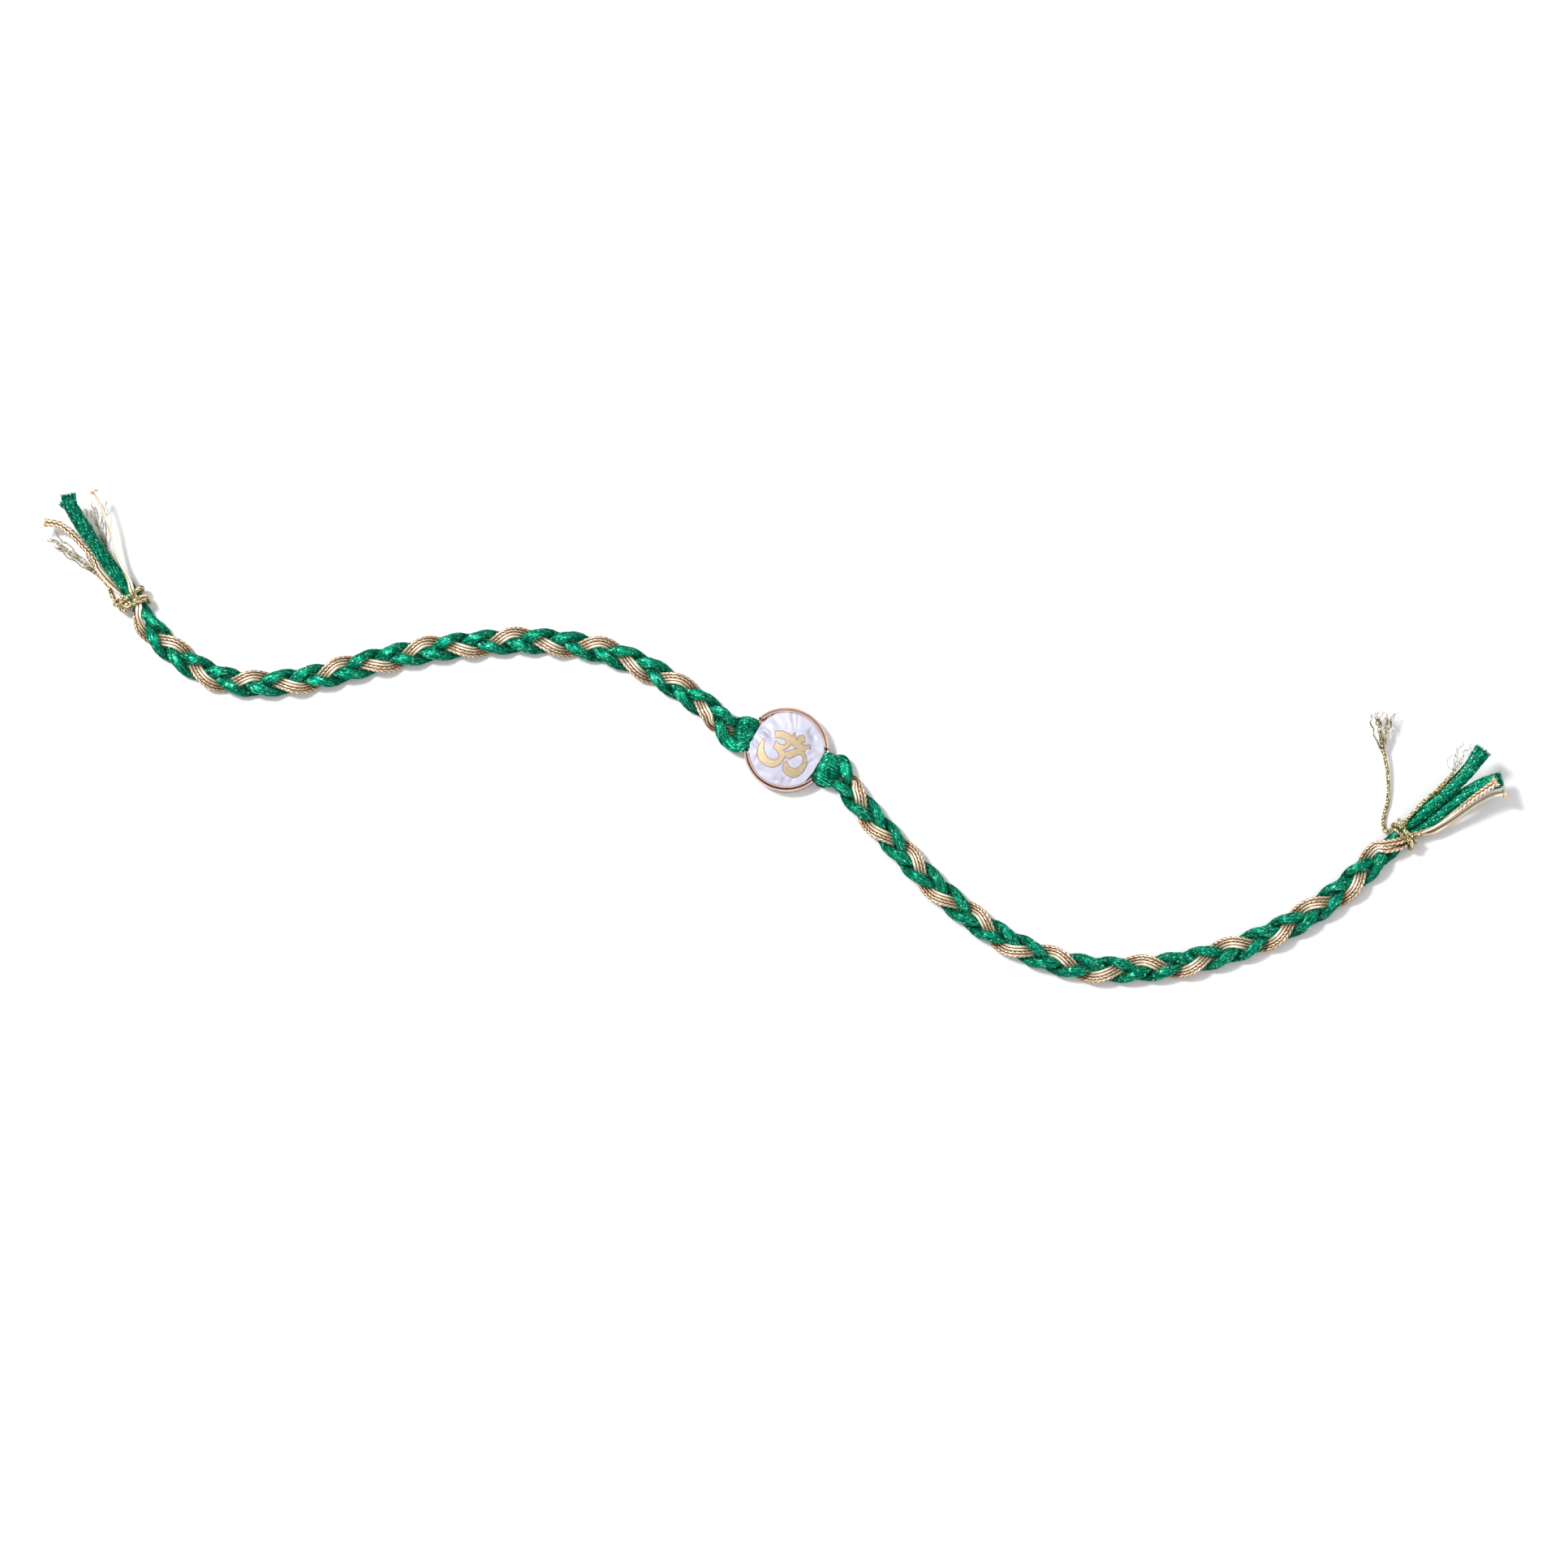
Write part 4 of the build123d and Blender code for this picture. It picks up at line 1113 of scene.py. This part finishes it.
def rim_piece():
    """The setting's rim: a wall with a bead and a thin inner lip, lowered to a bar at each eye."""
    theta = circle(RIM_AROUND)
    top = RIM_TOP + (BAR_TOP - RIM_TOP) * eye_share(theta, NOTCH_TURN)
    top = top + RIM_UNEVEN * value_noise(theta * RIM_WAVES, RIM_SEED)
    foot = BAR_LOW * eye_share(theta, WINDOW_TURN)
    radii, drops, dark = np.array(RIM_SECTION).T
    heights = np.vstack([foot, top + drops[:, None], foot]).T
    inner, outer = RIM_FOOT
    radius = np.array([inner, *radii, outer]) + 0 * theta[:, None]
    lip = (radius < LIP_OUTER) * eye_share(theta, NOTCH_TURN + LIP_MARGIN)[:, None]
    radius = radius + (inner - radius) * lip
    radius = radius + LIP_WAVE * ((radius < LIP_OUTER) * value_noise(theta * LIP_WAVES, LIP_SEED)[:, None])
    points = polar(radius, theta[:, None], heights).reshape(-1, 3) * MM
    near = np.arange(RIM_AROUND) * radius.shape[1]
    quads = ring_quads(near, np.roll(near, -1), radius.shape[1])
    # Painted shade in the groove beside the bead, darker at the front
    groove = np.array([0, *dark, 0]) * (GROOVE_MEAN - GROOVE_SWING * np.sin(theta))[:, None]
    return mesh_piece("setting_rim", points, [quads], groove=groove)


def prism(name, outline, low, high):
    """A flat-sided piece from an outline that runs anticlockwise."""
    count = len(outline)
    points = np.vstack([np.column_stack([outline, np.full(count, z)]) for z in (low, high)])
    column = np.arange(count)
    walls = ring_quads(np.array([0]), np.array([count]), count)
    return mesh_piece(name, points * MM, [walls, np.array([column[::-1], column + count])], smooth=False)


def back_pieces():
    """The setting's back plate, open under each eye, and the inner wall at each eye."""
    theta = circle(RIM_AROUND)
    reach = np.full(RIM_AROUND, PLATE_RADIUS)
    inner = LINER_LINE - LINER_THICK
    corners = [(inner, -1), (LINER_LINE, -1), (LINER_LINE, 1), (inner, 1)]
    pieces = []
    for side in SIDES.values():
        window = degrees_away(theta, side) < WINDOW_TURN
        reach = np.where(window, cut_back(reach, theta, side.eye - EYE_SKEW, LINER_LINE), reach)
        facing = math.radians(side.eye - EYE_SKEW)
        outline = [from_heading(0, 0, facing, out, LINER_HALF * hand, 0)[:2] for out, hand in corners]
        wall = prism(f"eye_wall_{side.name}", np.array(outline), PLATE_THICK - LINER_SUNK, LINER_HEIGHT)
        pieces.append(wall)
    pieces.append(prism("setting_plate", polar(reach, theta, 0 * theta)[:, :2], 0, PLATE_THICK))
    return pieces


def inlay_edge(inlay):
    """A thin dark band of painted shade in the gap round the inlay, along the outline of its top."""
    place = inlay.matrix_world
    numbers, edges = {}, {}
    for face in inlay.data.polygons:
        if (place.to_3x3() @ face.normal).normalized().z <= TOP_FACING:
            continue
        spots = [place @ inlay.data.vertices[v].co for v in face.vertices]
        keys = [tuple(round(value, OUTLINE_DIGITS) for value in spot) for spot in spots]
        ends = [numbers.setdefault(key, len(numbers)) for key in keys]
        for start, end in zip(ends, ends[1:] + ends[:1]):
            edges.setdefault(frozenset((start, end)), []).append((start, end))
    spots = np.array(list(numbers))
    outline = [found[0] for found in edges.values() if len(found) == 1]
    outward = np.zeros((len(spots), 2))
    for start, end in outline:
        ahead = spots[end, :2] - spots[start, :2]
        away = np.array([ahead[1], -ahead[0]]) / max(np.linalg.norm(ahead), TINY)
        outward[start] += away
        outward[end] += away
    length = np.maximum(np.linalg.norm(outward, axis=1), TINY)[:, None]
    outer = spots.copy()
    outer[:, :2] += outward / length * GAP_SHADE_WIDE * MM
    both = np.vstack([spots, outer])
    both[:, 2] += GAP_SHADE_LIFT * MM
    quads = np.array([[start, start + len(spots), end + len(spots), end] for start, end in outline])
    used = np.unique(quads)
    return mesh_piece("inlay_gap_shade", both[used], [np.searchsorted(used, quads)])


class Shader:
    """The nodes of a material or a world, with short calls to make them."""

    def __init__(self, owner, surface="Principled BSDF"):
        owner.use_nodes = True
        self.owner = owner
        self.tree = owner.node_tree
        self.surface = self.tree.nodes[surface]

    def plug(self, socket, value):
        if isinstance(value, bpy.types.NodeSocket):
            self.tree.links.new(value, socket)
        else:
            socket.default_value = value

    def node(self, kind, inputs=None, **settings):
        made = self.tree.nodes.new(kind)
        for key, value in settings.items():
            setattr(made, key, value)
        for key, value in (inputs or {}).items():
            self.plug(made.inputs[key], value)
        return made

    def set(self, **values):
        for key, value in values.items():
            self.plug(self.surface.inputs[key.replace("_", " ")], value)

    def ramp(self, factor, *stops):
        made = self.node("ShaderNodeValToRGB", {"Fac": factor})
        elements = made.color_ramp.elements
        while len(elements) < len(stops):
            elements.new(0.5)
        for element, (position, colour) in zip(elements, stops):
            element.position = position
            element.color = (*colour, 1)
        return made.outputs["Color"]

    def mix(self, a, b, blend="MULTIPLY", weight=1.0):
        made = self.node("ShaderNodeMix", {0: weight, 6: a, 7: b}, data_type="RGBA", blend_type=blend)
        return made.outputs[2]

    def attribute(self, name):
        return self.node("ShaderNodeAttribute", attribute_name=name).outputs["Fac"]

    def place(self):
        return self.node("ShaderNodeTexCoord").outputs["Object"]

    def between(self, axis, start, end):
        """0 to 1 as the place along an axis goes from start to end, in millimetres."""
        value = self.node("ShaderNodeSeparateXYZ", {0: self.place()}).outputs[axis]
        inputs = {"Value": value, "From Min": start * MM, "From Max": end * MM}
        return self.node("ShaderNodeMapRange", inputs).outputs[0]

    def uv(self, scale_u, scale_v, lean=0.0):
        """The UV map, which is in millimetres, turned by a lean in radians and stretched."""
        coordinates = self.node("ShaderNodeUVMap", uv_map="UVMap").outputs[0]
        turned = self.node("ShaderNodeMapping", {"Vector": coordinates, "Rotation": (0, 0, lean)})
        scaled = self.node("ShaderNodeMapping", {"Vector": turned.outputs[0], "Scale": (scale_u, scale_v, 1)})
        return scaled.outputs[0]

    def noise(self, vector, scale, detail=2.0, roughness=0.5, distortion=0.0):
        inputs = dict(Vector=vector, Scale=scale, Detail=detail, Roughness=roughness, Distortion=distortion)
        return self.node("ShaderNodeTexNoise", inputs).outputs["Fac"]

    def bump(self, height, strength, distance, normal=None):
        inputs = {"Height": height, "Strength": strength, "Distance": distance * MM}
        if normal is not None:
            inputs["Normal"] = normal
        return self.node("ShaderNodeBump", inputs).outputs[0]


def new_shader(name):
    return Shader(bpy.data.materials.new(name))


def plain(name, colour, **settings):
    """A material of one colour."""
    shader = new_shader(name)
    shader.set(Base_Color=(*colour, 1), **settings)
    return shader.owner


def woven(shader, colour, painted_valley_shade, depth, **settings):
    """A strand's material: painted shade between its stitches and where it dives under the next strand, and
    painted light on its crests and top.
    """
    # Painted shade in the grooves between stitches and yarns, and painted light on their crests
    colour = shader.mix(colour, shader.ramp(shader.attribute("crest"), *painted_valley_shade))
    # Painted shade by height: a strand darker low down, under its neighbours, and a little lighter on top
    colour = shader.mix(colour, shader.ramp(shader.between("Z", PAINTED_SHADE_LOW, PAINTED_SHADE_HIGH), *depth))
    shader.set(Base_Color=colour, **settings)
    return shader.owner


def satin_green():
    """Green satin with filaments along the cord, and small glints painted into its colour as highlights."""
    shader = new_shader("green_satin")
    fibres = shader.noise(shader.uv(3.6, 0.50, 0.25), 1.0, 3.0, 0.60)
    sparks = shader.noise(shader.uv(4.2, 1.9, -0.35), 1.0, 2.0, 0.55, 0.4)
    green = [(0.35, (0.0001, 0.068, 0.033)), (0.50, (0.0006, 0.180, 0.097)), (0.63, (0.022, 0.44, 0.266))]
    # Painted highlights: mint glints added onto the green where the spark noise is high
    painted_glints = [(0.575, (0, 0, 0)), (0.635, (0.05, 0.33, 0.22)), (0.685, (0.54, 0.80, 0.64))]
    return woven(
        shader,
        shader.mix(shader.ramp(fibres, *green), shader.ramp(sparks, *painted_glints), "ADD"),
        # Painted shade in the grooves and painted light on the crests
        painted_valley_shade=[(0.05, (0.42, 0.50, 0.48)), (0.65, (1.1, 1.1, 1.1))],
        # Painted shade low down, under the next strand, and a painted lift on top
        depth=[(0.0, (0.24, 0.34, 0.32)), (0.45, (0.60, 0.68, 0.66)), (1.0, (1.08, 1.08, 1.08))],
        Metallic=0.65,
        Roughness=0.46,
        Anisotropic=0.70,
        Tangent=shader.node("ShaderNodeTangent", direction_type="UV_MAP", uv_map="UVMap").outputs[0],
        Normal=shader.bump(sparks, 0.5, 0.08, shader.bump(fibres, 0.5, 0.07)),
        Specular_IOR_Level=0.12,
        Specular_Tint=(0.03, 0.85, 0.55, 1),
    )


def braided_gold():
    """Gold braid: rough yarns where the herringbone shows, streaked ribs elsewhere, with painted shade in its
    grooves and low down.
    """
    shader = new_shader("gold_braid")
    threads = shader.noise(shader.uv(3.0, 2.0), 1.0, 3.0, 0.65)
    streaks = shader.noise(shader.uv(3.0, 0.4), 1.0, 2.0, 0.5)
    rough = [(0.36, (0.52, 0.36, 0.21)), (0.48, (0.80, 0.61, 0.43)), (0.58, (0.98, 0.89, 0.77))]
    smooth = [(0.36, (0.86, 0.65, 0.46)), (0.50, (0.96, 0.78, 0.59)), (0.62, (1.0, 0.92, 0.81))]
    weight = shader.attribute("herringbone")
    return woven(
        shader,
        shader.mix(shader.ramp(streaks, *smooth), shader.ramp(threads, *rough), "MIX", weight),
        # Painted shade in the grooves and painted light on the crests
        painted_valley_shade=[(0.55, (0.30, 0.175, 0.075)), (0.92, (1.13, 1.13, 1.14))],
        # Painted shade low down, under the next strand, and a painted lift on top
        depth=[(0.0, (0.58, 0.49, 0.38)), (0.5, (0.93, 0.90, 0.85)), (1.0, (1.06, 1.06, 1.05))],
        Metallic=0.5,
        Roughness=0.32,
        Normal=shader.bump(threads, 0.4, 0.06),
        Specular_IOR_Level=0.25,
        Specular_Tint=(1.0, 0.86, 0.72, 1),
    )


def metallic_thread(name, dark, middle, bright):
    """Twisted metallic thread with bright flakes between darker ones; the bright flakes are painted sparkle."""
    shader = new_shader(name)
    flakes = shader.noise(shader.uv(2.6, 2.2), 1.0, 2.0, 0.6)
    # Painted sparkle: the brightest flakes stand in for glints of light
    colour = shader.ramp(flakes, (0.40, dark), (0.49, middle), (0.58, bright))
    shader.set(Base_Color=colour, Metallic=0.6, Roughness=0.28, Normal=shader.bump(flakes, 0.7, 0.12))
    return shader.owner


def nacre():
    """Nacre: soft clouds, with faint stains towards the pearl's front edge."""
    shader = new_shader("pearl")
    place = shader.place()
    clouds = shader.noise(place, 260.0, 3.0, 0.5, 0.4)
    stains = shader.noise(place, 620.0, 3.0, 0.6)
    grain = shader.noise(place, 1500.0, 2.0)
    pale = [(0.32, (0.45, 0.43, 0.53)), (0.50, (0.565, 0.557, 0.677)), (0.68, (0.655, 0.655, 0.76))]
    spots = shader.ramp(stains, (0.50, (1.0, 1.0, 1.0)), (0.68, (0.78, 0.70, 0.72)))
    weight = shader.between("Y", STAINS_FROM, STAINS_TO)
    shader.set(
        Base_Color=shader.mix(shader.ramp(clouds, *pale), spots, weight=weight),
        Roughness=0.38,
        Normal=shader.bump(clouds, 0.25, 0.25, shader.bump(grain, 0.10, 0.05)),
        Specular_IOR_Level=0.45,
        Coat_Weight=0.25,
        Coat_Roughness=0.16,
        Sheen_Weight=0.15,
        Sheen_Tint=(0.8, 0.75, 1.0, 1),
    )
    return shader.owner


def rose_gold():
    """Polished rose gold, with painted shade in the rim's groove."""
    shader = new_shader("rose_gold")
    wear = shader.noise(shader.place(), 500.0, 3.0)
    colour = shader.ramp(wear, (0.30, (0.84, 0.60, 0.51)), (0.70, (0.98, 0.80, 0.72)))
    # Painted shade: darker where the rim's groove is marked
    painted_shade = shader.ramp(shader.attribute("groove"), (0.0, (1.0, 1.0, 1.0)), (1.0, (0.20, 0.11, 0.08)))
    rough = shader.ramp(wear, (0.35, (0.08, 0.08, 0.08)), (0.70, (0.16, 0.16, 0.16)))
    normal = shader.bump(wear, 0.10, 0.05)
    shader.set(Base_Color=shader.mix(colour, painted_shade), Metallic=1.0, Roughness=rough, Normal=normal)
    return shader.owner


def inlay_gold():
    """Gold with fine brush strokes."""
    shader = new_shader("inlay_gold")
    brushed = {"Vector": shader.place(), "Rotation": (0, 0, 0.6), "Scale": (1, 9, 1)}
    strokes = shader.noise(shader.node("ShaderNodeMapping", brushed).outputs[0], 900.0, 3.0)
    colour = shader.ramp(strokes, (0.30, (0.46, 0.355, 0.208)), (0.70, (0.635, 0.51, 0.33)))
    shader.set(Base_Color=colour, Metallic=0.55, Roughness=0.55, Normal=shader.bump(strokes, 0.2, 0.03))
    return shader.owner


def aimed(name, data, location, direction):
    """An object of a camera or light that looks along a direction."""
    made = bpy.data.objects.new(name, data)
    made.location = location
    made.rotation_mode = "QUATERNION"
    made.rotation_quaternion = direction.to_track_quat("-Z", "Y")
    bpy.context.scene.collection.objects.link(made)
    return made


def camera():
    data = bpy.data.cameras.new("camera")
    data.sensor_width = CAMERA_SENSOR
    data.lens = CAMERA_DISTANCE / CAMERA_FIELD * CAMERA_SENSOR
    data.clip_start, data.clip_end = CAMERA_CLIP
    tilt = math.radians(CAMERA_ELEVATION)
    back = Vector((0, -math.cos(tilt), math.sin(tilt)))
    location = (Vector(CAMERA_TARGET) + back * CAMERA_DISTANCE) * MM
    bpy.context.scene.camera = aimed("camera", data, location, -back)


def studio():
    """White table, one soft key light from the upper left and a bright room."""
    corners = np.array([[-1, -1, 0], [1, -1, 0], [1, 1, 0], [-1, 1, 0]]) * FLOOR_HALF
    floor = mesh_piece("floor", corners, [np.array([[0, 1, 2, 3]])])
    white = plain("floor_white", (0.93, 0.93, 0.935), Roughness=0.9, Specular_IOR_Level=0.0)
    floor.data.materials.append(white)
    key = bpy.data.lights.new("key", "AREA")
    key.size = KEY_SIZE
    key.energy = KEY_POWER
    towards = Vector(KEY_TOWARDS).normalized()
    aimed("key", key, towards * KEY_DISTANCE, -towards)
    room = Shader(bpy.data.worlds.new("room"), "Background")
    direction = room.node("ShaderNodeTexCoord").outputs["Generated"]
    height = room.node("ShaderNodeSeparateXYZ", {0: direction}).outputs["Z"]
    room.set(Color=room.ramp(height, *ROOM), Strength=FILL_STRENGTH)
    bpy.context.scene.world = room.owner
    bpy.context.scene.view_settings.view_transform = "Standard"


def dress(piece, material, replaced=()):
    """Gives a piece its material, puts it under the root body, and hides the solids that it takes the place of.
    """
    piece.data.materials.append(material)
    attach(piece, "root")
    if replaced:
        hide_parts(*replaced)


def main():
    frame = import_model()
    camera()
    studio()
    green, gold = satin_green(), braided_gold()
    thread = metallic_thread("whipping_thread", *THREAD_COLOURS)
    loose_thread = metallic_thread("loose_thread", *LOOSE_COLOURS)
    for number, side in enumerate(SIDES.values()):
        cord_seed, band_seed, fray_seed = (first + step * number for first, step in SEEDS)
        for half, phase, *knot in (("a", 120, LOOP_TURN, LOOP_LEG), ("b", -120, STRAIGHT_TURN, STRAIGHT_LEG)):
            rows = cord_rows(side, phase, *knot, TAILS[side.name, f"cord_{half}"])
            piece, *end = satin_cord(f"satin_cord_{side.name}_{half}", rows, cord_seed + phase)
            dress(piece, green, [f"green_strand_{side.name}_{half}"])
            fibres = fuzz(f"cut_fibres_{side.name}_{half}", *end, CUT_FIBRES, cord_seed + phase)
            dress(fibres, green)
        for half, which in (("a", 1), ("b", -1)):
            rows = band_rows(side, which, TAILS[side.name, f"band_{half}"])
            piece, *end = gold_band(f"gold_braid_{side.name}_{half}", rows, which, band_seed + which)
            dress(piece, gold, [f"gold_band_{side.name}_{half}"])
            fibres = fuzz(f"braid_fibres_{side.name}_{half}", *end, BRAID_FIBRES, band_seed + which)
            dress(fibres, gold)
        paths = plies(whipping_rows(side)) + plies(thread_knot(side))
        piece = bundle(f"whipping_{side.name}", paths, [PLY_RADIUS] * len(paths), PLY_SIDES)
        dress(piece, thread, [f"tie_{side.name}"])
        dress(frays(f"frayed_thread_{side.name}", side, fray_seed), loose_thread)
    dress(pearl_piece(), nacre(), ["pearl_disc"])
    rose = rose_gold()
    dress(rim_piece(), rose, ["bezel"])
    for piece in back_pieces():
        dress(piece, rose)
    inlay = frame["nodes"]["om_inlay"]
    inlay.data.materials.clear()
    inlay.data.materials.append(inlay_gold())
    # A dark band of painted shade in the gap round the inlay
    dress(inlay_edge(inlay), plain("inlay_gap_shade", (0.27, 0.165, 0.11), Roughness=0.6))


main()
